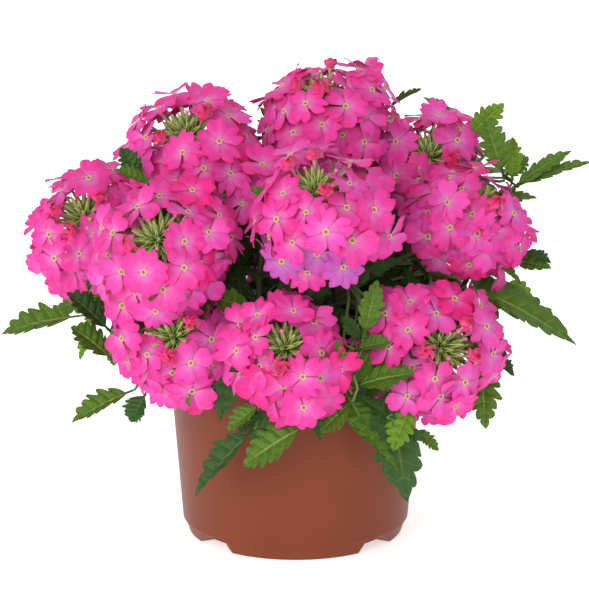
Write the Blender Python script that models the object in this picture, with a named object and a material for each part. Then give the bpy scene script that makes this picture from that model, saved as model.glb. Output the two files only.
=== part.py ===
# Potted verbena: a bushy plant with domed heads of hot-pink florets, in a round nursery pot.
# Metres, +Z up. The origin is the middle of the pot's flat underside, and the front faces -Y.
# Every stem, flower head and leafy shoot is one object, 0.3 mm clear of what carries it.

import math
import random

import bmesh
import bpy
from mathutils import Vector
from mathutils.bvhtree import BVHTree
from mathutils.geometry import interpolate_bezier

MM = 0.001
GAP = 0.3 * MM              # between a piece and what carries it
CLEAR = 0.4 * MM            # least space between two masses
GOLDEN_ANGLE = math.radians(137.508)
SEED = 20

# Pot, a 12 cm nursery pot
POT_HEIGHT = 97 * MM
POT_SIDES = 36
FOOT_HEIGHT = 6.5 * MM      # the foot band below the wall's lower edge
FOOT_RADIUS = 50.2 * MM     # at the underside
FOOT_TOP_RADIUS = 51.9 * MM
FOOT_ROUND = 1.4 * MM
WALL_RADIUS = 52.8 * MM     # at its lower edge
WALL_TOP_RADIUS = 58.8 * MM
WALL_TOP = 82 * MM          # where the rim band starts
RIM_RADIUS = 60.6 * MM
RIM_TOP_RADIUS = 61.4 * MM
WALL = 1.3 * MM
FLOOR = 2.2 * MM            # thickness of the floor
CHANNEL_RADIUS = 40.5 * MM  # outside this the floor is raised over the drain notches
CHANNEL_FLOOR = 8.2 * MM
NOTCH_RADIUS = 42.5 * MM    # the drain notches' inner face
NOTCH_BOTTOM = (34.5, 64.0)  # a notch's two ends at the underside, in degrees from the front or back
NOTCH_TOP = (39.0, 51.0)    # and where the foot band meets the wall
SOIL_TOP = 87 * MM
SOIL_CROWN = 1.5 * MM       # the soil is a little higher in the middle

# Woody base and stems
BASE_RADIUS = 11 * MM       # at the soil, with its root flare
BASE_TOP_RADIUS = 8 * MM
BASE_HEIGHT = 16 * MM
BASE_SIDES = 12
STEM_RADIUS = 1.75 * MM
STEM_TIP_RADIUS = 1.25 * MM
TWIG_RADIUS = 1.2 * MM
TWIG_TIP_RADIUS = 0.85 * MM
TWIG_SIDES = 3
SHOOT_SETBACK = 2.5 * MM    # a shoot leaves its stem this far below the stem's tip
SEATING_STEP = 0.1 * MM
SEATING_STEPS = 30
LOW_RING = 4.6 * MM         # heights of the two rings of stems above the soil
HIGH_RING = 11.2 * MM
PATH_STEPS = 9              # points along a whole stem
FORK = 5                    # the point where a stem ends and its mass begins

# Flower heads: the dome's middle, where it faces (azimuth from the front towards +X, elevation)
# and its size as a share of HEAD_REACH
HEADS = {
    "far_left": ((-103, 4, 141), (-62, 24), 1.0),
    "upper_left": ((-47, 0, 180), (-25, 48), 1.05),
    "left": ((-59, -54, 145), (-26, 28), 1.1),
    "low_left": ((-60, -54, 99), (-32, -2), 0.95),
    "low_front": ((-3, -76, 101), (0, 2), 1.0),
    "front": ((12, -62, 162), (4, 32), 1.12),
    "top": ((18, 12, 197), (10, 66), 1.05),
    "upper_right": ((65, 20, 176), (32, 44), 0.95),
    "right": ((80, -17, 144), (46, 16), 1.0),
    "low_right": ((66, -54, 100), (24, 0), 1.08),
    "inner": ((-15, -14, 160), (-8, 58), 0.9),
    "top_back": ((18, 60, 172), (175, 40), 1.05),
    "back_left": ((-60, 52, 150), (-130, 28), 1.1),
    "back_right": ((62, 62, 148), (140, 28), 1.1),
    "back": ((0, 90, 122), (180, 8), 1.1),
    "low_back_left": ((-60, 62, 101), (-138, -2), 1.0),
    "low_back_right": ((60, 64, 101), (137, -2), 1.0),
}
HEAD_REACH = 26 * MM        # from the dome's root to a floret's throat
HEAD_SINK = 9 * MM          # the root lies this far behind the dome's middle
HEAD_INNER = 36             # polar angles that the florets cover, in degrees
HEAD_OUTER = 98
FLORETS = 12
FLORET_RADIUS = 11.4 * MM
FLORET_STEPS = (0, 2.6 * MM)  # neighbouring florets stand at different heights
FLORET_CLEFT = 0.68         # a cleft's radius as a share of a petal's
FLORET_DEPTH = 1.5 * MM     # from the throat to the collar under the petals
TUBE_RADIUS = 0.8 * MM
CORE_RADIUS = 6.5 * MM      # the knot of green calyces
SPIKES = 3
SPIKE_REACH = 20 * MM
SPIKE_RADIUS = 2.6 * MM

# Leafy shoots: the stem that carries it (None is the woody base), the end of its twig, the
# elevation it ends with, and the tips of the leaves that show on the outline
SHOOTS = {
    "left": ("far_left", (-92, -4, 109), -8, [(-136, -3, 96)]),
    "low_left": ("low_left", (-76, -34, 86), -40, [(-101, -42, 64)]),
    "upper_left": ("upper_left", (-68, 18, 168), 45, [(-76, 8, 178)]),
    "top_right": ("top", (52, 34, 186), 55, [(72, 30, 200)]),
    "upper_right": ("upper_right", (90, 16, 178), 55, [(95, 14, 198), (102, 12, 184)]),
    "right": ("right", (103, 8, 162), 20, [(128, 10, 175), (136, 8, 172)]),
    "right_middle": ("right", (96, 4, 128), 0, [(119, -10, 127)]),
    "low_right": ("low_right", (90, -22, 118), -15, [(127, -34, 97), (124, -8, 99)]),
    "under_right": ("low_right", (88, -34, 86), -60, [(85, -42, 59)]),
    "pot_left": (None, (-31, -67, 74), -70, [(-46, -64, 35)]),
    "pot_middle": (None, (5, -76, 80), -70, [(-14, -74, 50), (12, -76, 58)]),
    "pot_right": (None, (42, -60, 78), -75, [(50, -62, 32), (60, -56, 56)]),
    "inner_front": ("front", (28, -44, 128), 20, [(34, -66, 132)]),
    "back_left": ("low_back_left", (-88, 34, 112), 0, [(-112, 50, 104)]),
    "back_top": ("top_back", (-14, 62, 176), 40, [(-22, 84, 186)]),
    "back_right": ("low_back_right", (90, 44, 112), -5, [(116, 58, 104)]),
    "back_middle": ("back", (30, 92, 112), -20, [(40, 118, 98)]),
    "pot_back": ("low_back_left", (-26, 74, 80), -65, [(-34, 80, 44)]),
    "pot_back_right": ("low_back_right", (26, 74, 80), -65, [(36, 78, 46)]),
}
LEAF_LENGTH = 37 * MM
LEAF_WIDTH = 0.42           # a leaf's width as a share of its length
LEAF_THICK = 0.9 * MM
LEAF_PAIRS = 3              # pairs of leaves on a shoot
HEAD_LEAF_PAIRS = 2         # and under a flower head
SIDE_TWIG_PLACE = 0.5       # where a shoot's side twig leaves it, as a share of its path
SIDE_TWIG_LENGTH = 20 * MM

COLOURS = {
    "pot": ((0.30, 0.065, 0.03), 0.38),
    "soil": ((0.035, 0.02, 0.012), 0.95),
    "stem": ((0.12, 0.20, 0.05), 0.6),
    "shoot": ((0.05, 0.17, 0.025), 0.5),
    "bloom": ((0.80, 0.05, 0.32), 0.55),
}


def facing(azimuth, elevation):
    # Unit direction; azimuth 0 is the front (-Y) and 90 is +X.
    a, e = math.radians(azimuth), math.radians(elevation)
    return Vector((math.sin(a) * math.cos(e), -math.cos(a) * math.cos(e), math.sin(e)))


def across(axis, towards=Vector((0, 0, 1))):
    # Two unit directions square to the axis; the second leans towards the given one.
    side = towards.cross(axis)
    if side.length < 1e-3:
        side = Vector((1, 0, 0)).cross(axis)
    side.normalize()
    return side, axis.cross(side)


def material(name, colour, roughness):
    mat = bpy.data.materials.new(name)
    mat.use_nodes = True
    shader = mat.node_tree.nodes["Principled BSDF"]
    shader.inputs["Base Color"].default_value = (*colour, 1)
    shader.inputs["Roughness"].default_value = roughness
    shader.inputs["Metallic"].default_value = 0
    return mat


def add_object(name, piece, finish, smooth=None, collection=None):
    # A piece is a pair of lists: points and faces.
    mesh = bpy.data.meshes.new(name)
    points, faces = piece
    mesh.from_pydata(points, [], faces)
    if smooth is not None:
        mesh.shade_smooth()
        mesh.set_sharp_from_angle(angle=math.radians(smooth))
    obj = bpy.data.objects.new(name, mesh)
    (collection or bpy.context.scene.collection).objects.link(obj)
    if finish:
        colour, roughness = COLOURS[finish]
        mesh.materials.append(material(name, colour, roughness))
    return obj


# Turned pieces and tubes

def turned(outline, sides):
    # The outline is (radius, height) from the axis at the bottom, round the outside, to the axis.
    points = [Vector((0, 0, outline[0][1]))]
    for radius, height in outline[1:-1]:
        for i in range(sides):
            a = 2 * math.pi * i / sides
            points.append(Vector((radius * math.cos(a), radius * math.sin(a), height)))
    points.append(Vector((0, 0, outline[-1][1])))
    faces = []
    for i in range(sides):
        j = (i + 1) % sides
        faces.append((0, 1 + j, 1 + i))
        for ring in range(len(outline) - 3):
            low = 1 + ring * sides
            faces.append((low + i, low + j, low + sides + j, low + sides + i))
        last = 1 + (len(outline) - 3) * sides
        faces.append((last + i, last + j, len(points) - 1))
    return points, faces


def tube(path, start_radius, end_radius, sides, first=None, last=None):
    # A tapering limb along the path, with flat ends square to the directions first and last.
    points, faces = [], []
    side = None
    for i, centre in enumerate(path):
        before, after = path[max(i - 1, 0)], path[min(i + 1, len(path) - 1)]
        tangent = (after - before).normalized()
        if i == 0 and first:
            tangent = first
        if i == len(path) - 1 and last:
            tangent = last
        if side is None:
            side = across(tangent)[0]
        side = (side - tangent * side.dot(tangent)).normalized()
        other = tangent.cross(side)
        radius = start_radius + (end_radius - start_radius) * i / (len(path) - 1)
        for k in range(sides):
            a = 2 * math.pi * k / sides
            points.append(centre + (side * math.cos(a) + other * math.sin(a)) * radius)
    for i in range(len(path) - 1):
        for k in range(sides):
            j = (k + 1) % sides
            faces.append((i * sides + k, i * sides + j, (i + 1) * sides + j, (i + 1) * sides + k))
    faces.append(tuple(range(sides))[::-1])
    faces.append(tuple(range((len(path) - 1) * sides, len(path) * sides)))
    return points, faces


# Pieces of a mass

def floret(root, throat, axis, turn, radius):
    # Five petals as a ten-point star, one thin closed body with its three-sided tube.
    side, other = across(axis)
    collar_middle = throat - axis * FLORET_DEPTH

    def ring(middle, count, reach):
        around = []
        for i in range(count):
            a = turn + 2 * math.pi * i / count
            around.append(middle + (side * math.cos(a) + other * math.sin(a)) * reach(i))
        return around

    rim = ring(throat, 10, lambda i: radius if i % 2 == 0 else radius * FLORET_CLEFT)
    collar = ring(collar_middle, 3, lambda i: 1.6 * TUBE_RADIUS)
    foot = ring(root, 3, lambda i: TUBE_RADIUS)
    points = rim + collar + foot
    faces = [tuple(range(10))]
    for i in range(10):
        j = (i + 1) % 10
        near, far = 10 + (i * 3 // 10), 10 + ((i + 1) * 3 // 10) % 3
        faces.append((j, i, near))
        if near != far:
            faces.append((j, near, far))
    for k in range(3):
        j = (k + 1) % 3
        faces.append((10 + j, 10 + k, 13 + k, 13 + j))
    faces.append((15, 14, 13))
    return points, faces


def leaf(root, tip, upward, width):
    # A thin blade of twelve triangles: six points round its outline, one over and one under.
    along = tip - root
    length = along.length
    along.normalize()
    side, normal = across(along, upward)
    arch = normal * length * 0.07
    half = length * width / 2
    points = [root]
    points.append(root + along * length * 0.36 + side * half + arch)
    points.append(root + along * length * 0.72 + side * half * 0.72 + arch * 0.8)
    points.append(tip)
    points.append(root + along * length * 0.72 - side * half * 0.72 + arch * 0.8)
    points.append(root + along * length * 0.36 - side * half + arch)
    middle = root + along * length * 0.5 + arch * 0.6
    points.append(middle + normal * LEAF_THICK / 2)
    points.append(middle - normal * LEAF_THICK / 2)
    faces = []
    for i in range(6):
        j = (i + 1) % 6
        faces.append((j, i, 6))
        faces.append((i, j, 7))
    return points, faces


def spike(root, tip, radius):
    # A calyx as a three-sided pyramid.
    axis = (tip - root).normalized()
    side, other = across(axis)
    points = []
    for k in range(3):
        a = 2 * math.pi * k / 3
        points.append(root + (side * math.cos(a) + other * math.sin(a)) * radius)
    points.append(tip)
    return points, [(0, 1, 3), (1, 2, 3), (2, 0, 3), (2, 1, 0)]


def core(middle, axis):
    # The knot of calyces that the florets' tubes are fused to.
    bm = bmesh.new()
    bmesh.ops.create_icosphere(bm, subdivisions=1, radius=CORE_RADIUS)
    stretch = axis.to_track_quat("Z", "Y").to_matrix()
    points = [stretch @ Vector((v.co.x, v.co.y, v.co.z * 1.25)) + middle for v in bm.verts]
    faces = [tuple(v.index for v in f.verts) for f in bm.faces]
    bm.free()
    return points, faces


# What keeps each mass to its own space

class Space:
    # All placed pieces by node, asked whether a new one comes within CLEAR of another node's.
    def __init__(self):
        self.trees = []

    def add(self, node, piece):
        tree = BVHTree.FromPolygons(*piece)
        low = [min(p[k] for p in piece[0]) for k in range(3)]
        high = [max(p[k] for p in piece[0]) for k in range(3)]
        self.trees.append((node, tree, low, high))

    def tree_of(self, node):
        return next(tree for name, tree, _, _ in self.trees if name == node)

    def free(self, node, piece):
        swollen = swell(piece, CLEAR)
        low = [min(p[k] for p in swollen[0]) for k in range(3)]
        high = [max(p[k] for p in swollen[0]) for k in range(3)]
        tree = None
        for other, placed, start, end in self.trees:
            if other == node:
                continue
            if any(low[k] > end[k] or high[k] < start[k] for k in range(3)):
                continue
            tree = tree or BVHTree.FromPolygons(*swollen)
            if tree.overlap(placed):
                return False
        return True


def swell(piece, amount):
    # The piece with each point moved out along the mean of its faces' normals and from its middle.
    points, faces = piece
    normals = [Vector() for _ in points]
    for face in faces:
        a, b, c = (points[i] for i in face[:3])
        normal = (b - a).cross(c - a).normalized()
        for i in face:
            normals[i] += normal
    middle = sum(points, Vector()) / len(points)
    grown = []
    for point, normal in zip(points, normals):
        outward = (point - middle).normalized()
        grown.append(point + (normal.normalized() + outward * 0.6) * amount)
    return grown, faces


# Pot and soil

def make_pot():
    inner_low = WALL_RADIUS - WALL
    outline = [
        (0, 0),
        (FOOT_RADIUS - FOOT_ROUND, 0),
        (FOOT_RADIUS - FOOT_ROUND * 0.3, FOOT_ROUND * 0.3),
        (FOOT_RADIUS, FOOT_ROUND),
        (FOOT_TOP_RADIUS, FOOT_HEIGHT),
        (WALL_RADIUS, FOOT_HEIGHT + 0.4 * MM),
        (WALL_TOP_RADIUS, WALL_TOP),
        (RIM_RADIUS, WALL_TOP + 0.8 * MM),
        (RIM_TOP_RADIUS, POT_HEIGHT - 0.8 * MM),
        (RIM_TOP_RADIUS - 0.7 * MM, POT_HEIGHT),
        (RIM_TOP_RADIUS - 1.6 * MM, POT_HEIGHT - 0.8 * MM),
        (WALL_TOP_RADIUS - WALL, WALL_TOP - 2 * MM),
        (inner_low, CHANNEL_FLOOR),
        (CHANNEL_RADIUS, CHANNEL_FLOOR),
        (CHANNEL_RADIUS - 1.5 * MM, FLOOR),
        (0, FLOOR),
    ]
    pot = add_object("pot", turned(outline, POT_SIDES), "pot", smooth=35)
    cutters = bpy.data.collections.new("notches")
    bpy.context.scene.collection.children.link(cutters)
    outside, below = WALL_RADIUS + 6 * MM, -1 * MM
    for mirror_x in (1, -1):
        for mirror_y in (1, -1):
            points = []
            for height, ends in ((below, NOTCH_BOTTOM), (FOOT_HEIGHT, NOTCH_TOP)):
                for angle, radius in ((ends[0], NOTCH_RADIUS), (ends[1], NOTCH_RADIUS),
                                      (ends[1], outside), (ends[0], outside)):
                    a = math.radians(angle)
                    points.append(Vector((mirror_x * radius * math.sin(a),
                                          -mirror_y * radius * math.cos(a), height)))
            faces = [(0, 1, 2, 3), (7, 6, 5, 4), (0, 4, 5, 1), (1, 5, 6, 2), (2, 6, 7, 3), (3, 7, 4, 0)]
            if mirror_x * mirror_y < 0:
                faces = [face[::-1] for face in faces]
            cutter = add_object("notch", (points, faces), None, collection=cutters)
            cutter.hide_render = True
            cutter.display_type = "WIRE"
    apply_boolean(pot, cutters, "DIFFERENCE", "EXACT")
    return pot


def make_soil():
    # Fills the pot, GAP clear of its wall and floor.
    inner_low, inner_top = WALL_RADIUS - WALL, WALL_TOP_RADIUS - WALL
    slope = (inner_top - inner_low) / (WALL_TOP - 2 * MM - CHANNEL_FLOOR)
    steps = ((RIM_TOP_RADIUS - 1.6 * MM) - inner_top) / (POT_HEIGHT - 0.8 * MM - WALL_TOP + 2 * MM)
    outline = [
        (0, FLOOR + GAP),
        (CHANNEL_RADIUS - 1.5 * MM - 2 * GAP, FLOOR + GAP),
        (CHANNEL_RADIUS - 2 * GAP, CHANNEL_FLOOR + GAP),
        (inner_low + slope * GAP - 1.2 * GAP, CHANNEL_FLOOR + GAP),
        (inner_top - 1.2 * GAP, WALL_TOP - 2 * MM),
        (inner_top + steps * (SOIL_TOP - WALL_TOP + 2 * MM) - 1.5 * GAP, SOIL_TOP),
        (BASE_RADIUS + 14 * MM, SOIL_TOP + SOIL_CROWN),
        (0, SOIL_TOP + SOIL_CROWN),
    ]
    return add_object("soil", turned(outline, POT_SIDES), "soil", smooth=35)


def apply_boolean(obj, collection, operation, solver):
    # Joins or cuts with every object of the collection at once, then removes those objects.
    modifier = obj.modifiers.new("Boolean", "BOOLEAN")
    modifier.operation = operation
    modifier.operand_type = "COLLECTION"
    modifier.collection = collection
    modifier.solver = solver
    graph = bpy.context.evaluated_depsgraph_get()
    mesh = bpy.data.meshes.new_from_object(obj.evaluated_get(graph))
    obj.modifiers.clear()
    old = obj.data
    obj.data = mesh
    bpy.data.meshes.remove(old)
    mesh.name = obj.name
    for member in list(collection.objects):
        bpy.data.objects.remove(member)
    bpy.data.collections.remove(collection)


def keep_largest(obj):
    # Drops loose scraps and fills sealed hollows: only the largest shell stays.
    bm = bmesh.new()
    bm.from_mesh(obj.data)
    unseen, shells = set(bm.verts), []
    while unseen:
        front = [unseen.pop()]
        shell = list(front)
        while front:
            vert = front.pop()
            for edge in vert.link_edges:
                other = edge.other_vert(vert)
                if other in unseen:
                    unseen.remove(other)
                    front.append(other)
                    shell.append(other)
        shells.append(shell)
    shells.sort(key=len, reverse=True)
    for shell in shells[1:]:
        bmesh.ops.delete(bm, geom=shell, context="VERTS")
    bm.to_mesh(obj.data)
    bm.free()


# Stems

def droop_ease(nose):
    # How far back the curve's last handle reaches, as a share of the span: a drooping shoot
    # goes well over the pot's rim before it falls.
    return 0.36 + 0.62 * math.sin(math.radians(max(-nose, 0)))


def stem_paths():
    # Where each stem runs, from the woody base to the root of its head or the end of its shoot.
    targets = {}
    for name, (middle, look, _) in HEADS.items():
        axis = facing(*look)
        targets["head", name] = (Vector(middle) * MM - axis * HEAD_SINK, axis, 0.34)
    for name, (carrier, end, nose, _) in SHOOTS.items():
        if carrier is None:
            end = Vector(end) * MM
            azimuth = math.degrees(math.atan2(end.x, -end.y))
            targets["shoot", name] = (end, facing(azimuth, nose), droop_ease(nose))
    order = sorted(targets, key=lambda key: math.atan2(targets[key][0].x, -targets[key][0].y))
    middle_height = sum(target[0].z for target in targets.values()) / len(targets)
    paths = {}
    for rank, key in enumerate(order):
        end, axis, ease = targets[key]
        turn = math.atan2(end.x, -end.y)
        even = -math.pi + 2 * math.pi * (rank + 0.5) / len(order)
        angle = 0.15 * turn + 0.85 * even
        high = rank % 2 == 0
        outward = Vector((math.sin(angle), -math.cos(angle), 0))
        level = HIGH_RING if high else LOW_RING
        share = level / BASE_HEIGHT
        radius = BASE_RADIUS + (BASE_TOP_RADIUS - BASE_RADIUS) * share
        start = outward * (radius + GAP + STEM_RADIUS * 0.5)
        start.z = SOIL_TOP + SOIL_CROWN + GAP + level
        rise = 0.9 if end.z > middle_height else 0.35
        rise = max(rise, 0.5) if high else rise
        leave = (outward + Vector((0, 0, rise))).normalized()
        reach = (end - start).length
        paths[key] = interpolate_bezier(
            start, start + leave * reach * 0.36, end - axis * reach * ease, end, PATH_STEPS)
    return paths


def make_base():
    # The short woody foot, cut flat at the soil, with a flare and a blunt top.
    low = SOIL_TOP + SOIL_CROWN + GAP
    outline = [
        (0, low),
        (BASE_RADIUS, low),
        (BASE_RADIUS - 1.4 * MM, low + 3 * MM),
        (BASE_TOP_RADIUS + 0.6 * MM, low + BASE_HEIGHT * 0.75),
        (BASE_TOP_RADIUS * 0.72, low + BASE_HEIGHT),
        (0, low + BASE_HEIGHT),
    ]
    return add_object("stem_base", turned(outline, BASE_SIDES), "stem", smooth=50)


# Masses

class Mass:
    # One flower head or shoot: a twig and the pieces that are fused to it.
    def __init__(self, name, finish, space):
        self.name, self.finish, self.space = name, finish, space
        self.path = []
        self.pieces = []

    def add(self, piece, must=False):
        if must or self.space.free(self.name, piece):
            self.pieces.append(piece)
            self.space.add(self.name, piece)
            return True
        return False

    def fuse(self):
        members = bpy.data.collections.new(self.name + "_pieces")
        bpy.context.scene.collection.children.link(members)
        for piece in self.pieces[1:]:
            add_object("piece", piece, None, collection=members)
        body = add_object(self.name, self.pieces[0], self.finish)
        apply_boolean(body, members, "UNION", "MANIFOLD")
        keep_largest(body)
        return body


def point_along(path, share):
    # A point and direction at a share of the path's steps.
    place = share * (len(path) - 1)
    index = min(int(place), len(path) - 2)
    return path[index].lerp(path[index + 1], place - index), (path[index + 1] - path[index]).normalized()


def leaning(tangent, angle, opening):
    # The direction that leaves a twig at the given angle round it, opened by so many degrees.
    side, other = across(tangent)
    outward = side * math.cos(angle) + other * math.sin(angle)
    open_angle = math.radians(opening)
    return tangent * math.cos(open_angle) + outward * math.sin(open_angle)


def add_leaf(mass, root, tangent, angle, size, dice):
    # A leaf that droops a little; a shorter one where the full one has no room, or none.
    along = leaning(tangent, angle + dice.uniform(-0.3, 0.3), dice.uniform(48, 72))
    along = (along + Vector((0, 0, -0.12))).normalized()
    size *= dice.uniform(0.85, 1.1)
    for length in (size, size * 0.75):
        if mass.add(leaf(root, root + along * length, tangent + Vector((0, 0, 0.6)), LEAF_WIDTH)):
            return


def add_leaf_pairs(mass, pairs, first, dice):
    # Opposite leaves, each pair turned a quarter round the twig from the one below it.
    turn = dice.uniform(0, math.pi)
    for pair in range(pairs):
        share = first + (0.97 - first) * pair / max(pairs - 1, 1)
        root, tangent = point_along(mass.path, share)
        for partner in (0, math.pi):
            young = 1 - 0.35 * pair / pairs
            add_leaf(mass, root, tangent, turn + pair * math.pi / 2 + partner, LEAF_LENGTH * young, dice)
    return turn


def add_side_twig(mass, turn, dice):
    # One twig that branches from the shoot, on the first side with room, with a pair of leaves.
    root, tangent = point_along(mass.path, SIDE_TWIG_PLACE)
    for quarter in range(4):
        along = leaning(tangent, turn + (quarter + 0.5) * math.pi / 2, 45)
        tip = root + along * SIDE_TWIG_LENGTH
        if mass.add(tube([root, tip], TWIG_TIP_RADIUS, TWIG_TIP_RADIUS * 0.7, TWIG_SIDES)):
            for partner in (0, math.pi):
                near_tip = root.lerp(tip, 0.9)
                add_leaf(mass, near_tip, along, turn + partner, LEAF_LENGTH * 0.75, dice)
            return


def add_florets(mass, root, axis, turn, size):
    # Florets spread over the dome by the golden angle, so that each has an equal share of it.
    side, other = across(axis)
    first, last = math.cos(math.radians(HEAD_INNER)), math.cos(math.radians(HEAD_OUTER))
    for i in range(FLORETS):
        polar = math.acos(first + (last - first) * (i + 0.5) / FLORETS)
        angle = turn + i * GOLDEN_ANGLE
        out = side * math.cos(angle) + other * math.sin(angle)
        away = axis * math.cos(polar) + out * math.sin(polar)
        look = (away + axis * 0.25).normalized()
        for pull in (0, 3 * MM):
            reach = HEAD_REACH * size + FLORET_STEPS[i % len(FLORET_STEPS)] - pull
            piece = floret(root + away * 3.5 * MM, root + away * reach, look, angle, FLORET_RADIUS)
            if mass.add(piece):
                break


def fork_direction(path):
    return (path[FORK + 1] - path[FORK - 1]).normalized()


def upper_twig(path):
    # The part of a stem's path beyond its fork, which belongs to the mass.
    twig = list(path[FORK:])
    twig[0] = twig[0] + fork_direction(path) * GAP
    return twig


def grow_head(name, path, space):
    mass = Mass("bloom_" + name, "bloom", space)
    mass.path = upper_twig(path)
    axis = facing(*HEADS[name][1])
    twig = tube(mass.path, TWIG_RADIUS, TWIG_TIP_RADIUS, 4, first=fork_direction(path))
    mass.add(twig, must=True)
    mass.add(core(mass.path[-1] + axis * 3 * MM, axis), must=True)
    return mass


def dress_head(mass, name, dice):
    _, look, size = HEADS[name]
    axis = facing(*look)
    root = mass.path[-1]
    turn = dice.uniform(0, 2 * math.pi)
    side, other = across(axis)
    for i in range(SPIKES):
        polar = math.radians(6 + 27 * math.sqrt(i / SPIKES))
        angle = turn + i * GOLDEN_ANGLE
        out = side * math.cos(angle) + other * math.sin(angle)
        away = axis * math.cos(polar) + out * math.sin(polar)
        mass.add(spike(root + away * 4 * MM, root + away * SPIKE_REACH, SPIKE_RADIUS))
    add_florets(mass, root, axis, turn, size)


def seated_path(carrier, stem, end, nose):
    # A shoot's twig, its foot brought in until it is GAP from the side of the stem that carries
    # it, near that stem's tip.
    fork = stem[FORK]
    along = (fork - stem[FORK - 1]).normalized()
    aside = end - fork
    aside = (aside - along * aside.dot(along)).normalized()
    leave = (aside + along * 0.8 + Vector((0, 0, 0.5))).normalized()
    seated = None
    for step in range(SEATING_STEPS):
        offset = STEM_TIP_RADIUS + 2 * TWIG_RADIUS - step * SEATING_STEP
        start = fork - along * SHOOT_SETBACK + aside * offset
        reach = (end - start).length
        azimuth = math.degrees(math.atan2((end - start).x, -(end - start).y))
        handle = facing(azimuth, nose) * reach * droop_ease(nose)
        path = interpolate_bezier(start, start + leave * reach * 0.35, end - handle, end, 6)
        twig = swell(tube(path, TWIG_RADIUS, TWIG_RADIUS, TWIG_SIDES), GAP)
        if BVHTree.FromPolygons(*twig).overlap(carrier):
            break
        seated = path
    return seated


def grow_shoot(name, stems, space):
    carrier, end, nose, _ = SHOOTS[name]
    mass = Mass("shoot_" + name, "shoot", space)
    first = None
    if carrier is None:
        mass.path = upper_twig(stems["shoot", name])
        first = fork_direction(stems["shoot", name])
    else:
        tree = space.tree_of("stem_" + carrier)
        mass.path = seated_path(tree, stems["head", carrier], Vector(end) * MM, nose)
    twig = tube(mass.path, TWIG_RADIUS, TWIG_TIP_RADIUS * 0.8, TWIG_SIDES, first=first)
    mass.add(twig, must=True)
    return mass


def make_plant():
    space = Space()
    dice = random.Random(SEED)
    for built in (make_pot(), make_soil(), make_base()):
        mesh = built.data
        points = [v.co.copy() for v in mesh.vertices]
        space.add(built.name, (points, [tuple(f.vertices) for f in mesh.polygons]))
    paths = stem_paths()
    for (kind, name), path in paths.items():
        stem = tube(path[:FORK + 1], STEM_RADIUS, STEM_TIP_RADIUS, 4, last=fork_direction(path))
        label = "stem_" + name if kind == "head" else "stem_of_" + name
        add_object(label, stem, "stem", smooth=80)
        space.add(label, stem)
    heads = [grow_head(name, paths["head", name], space) for name in HEADS]
    shoots = [grow_shoot(name, paths, space) for name in SHOOTS]
    for mass, (_, _, _, tips) in zip(shoots, SHOOTS.values()):
        for tip in tips:
            mass.add(leaf(mass.path[-2], Vector(tip) * MM, Vector((0, -0.5, 1)), LEAF_WIDTH))
    for mass, name in zip(heads, HEADS):
        dress_head(mass, name, dice)
    for mass in shoots:
        turn = add_leaf_pairs(mass, LEAF_PAIRS, 0.35, dice)
        add_side_twig(mass, turn, dice)
    for mass in heads:
        add_leaf_pairs(mass, HEAD_LEAF_PAIRS, 0.2, dice)
    for mass in heads + shoots:
        mass.fuse()


for old in list(bpy.data.objects):
    bpy.data.objects.remove(old)
make_plant()
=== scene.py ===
import math
import random

import bpy
import numpy as np
from mathutils.bvhtree import BVHTree
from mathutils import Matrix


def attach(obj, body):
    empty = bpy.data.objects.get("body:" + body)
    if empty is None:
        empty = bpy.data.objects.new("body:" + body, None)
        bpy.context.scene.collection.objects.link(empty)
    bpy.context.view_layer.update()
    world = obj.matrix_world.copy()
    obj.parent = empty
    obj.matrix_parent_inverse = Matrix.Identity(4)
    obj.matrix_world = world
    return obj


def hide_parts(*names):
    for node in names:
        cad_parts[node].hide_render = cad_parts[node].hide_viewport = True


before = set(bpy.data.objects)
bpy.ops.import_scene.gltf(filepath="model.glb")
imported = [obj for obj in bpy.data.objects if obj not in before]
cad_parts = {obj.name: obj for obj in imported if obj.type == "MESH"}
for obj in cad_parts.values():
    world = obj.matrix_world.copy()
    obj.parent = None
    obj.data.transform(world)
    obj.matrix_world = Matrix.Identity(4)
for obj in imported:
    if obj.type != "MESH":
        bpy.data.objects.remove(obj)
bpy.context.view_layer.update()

mm = 0.001
up = np.array([0.0, 0.0, 1.0])
goldenAngle = math.radians(137.508)
anyTurn = (0, 6.28)  # bounds of a random turn
mapMiddle, mapHalf = 0.25, 0.23  # where a petal's or leaf's map has its midline, and its half-width
dice = random.Random(20)
rng = np.random.default_rng(20)
even, bell = rng.uniform, rng.normal  # draws between two numbers, or round one with a spread


# Directions and curves

def unit(v):  # v over its own length, for one vector or a whole array of them
    return v / np.maximum(np.linalg.norm(v, axis=-1, keepdims=True), 1e-9)


def facing(azimuth, elevation):  # azimuth 0 is the front (-Y) and 90 is +X, in degrees
    a, e = math.radians(azimuth), math.radians(elevation)
    return np.array([math.sin(a) * math.cos(e), -math.cos(a) * math.cos(e), math.sin(e)])


def squareTo(axis, towards=up):
    # side = towards x axis and other = axis x side, so that other leans to the given direction
    axis = np.asarray(axis, float)
    side = np.cross(np.broadcast_to(towards, axis.shape), axis)
    lost = np.linalg.norm(side, axis=-1, keepdims=True) < 1e-3
    side = unit(np.where(lost, np.cross(np.array([1.0, 0, 0]), axis), side))
    return side, np.cross(axis, side)


def bezier(a, b, c, d, steps):  # the cubic through a and d, with handles b and c
    t = np.linspace(0, 1, steps)[:, None]
    return a * (1 - t) ** 3 + 3 * b * t * (1 - t) ** 2 + 3 * c * t * t * (1 - t) + d * t ** 3


def alongPath(path, share):  # point and direction at a share of the path's steps
    place = share * (len(path) - 1)
    i = min(int(place), len(path) - 2)
    return path[i] + (path[i + 1] - path[i]) * (place - i), unit(path[i + 1] - path[i])


def turns(sides):  # the angles of a ring's points
    return np.arange(sides) * 2 * math.pi / sides


def around(side, other, angle):  # directions at angles from side towards other
    return side * np.cos(angle)[..., None] + other * np.sin(angle)[..., None]


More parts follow.
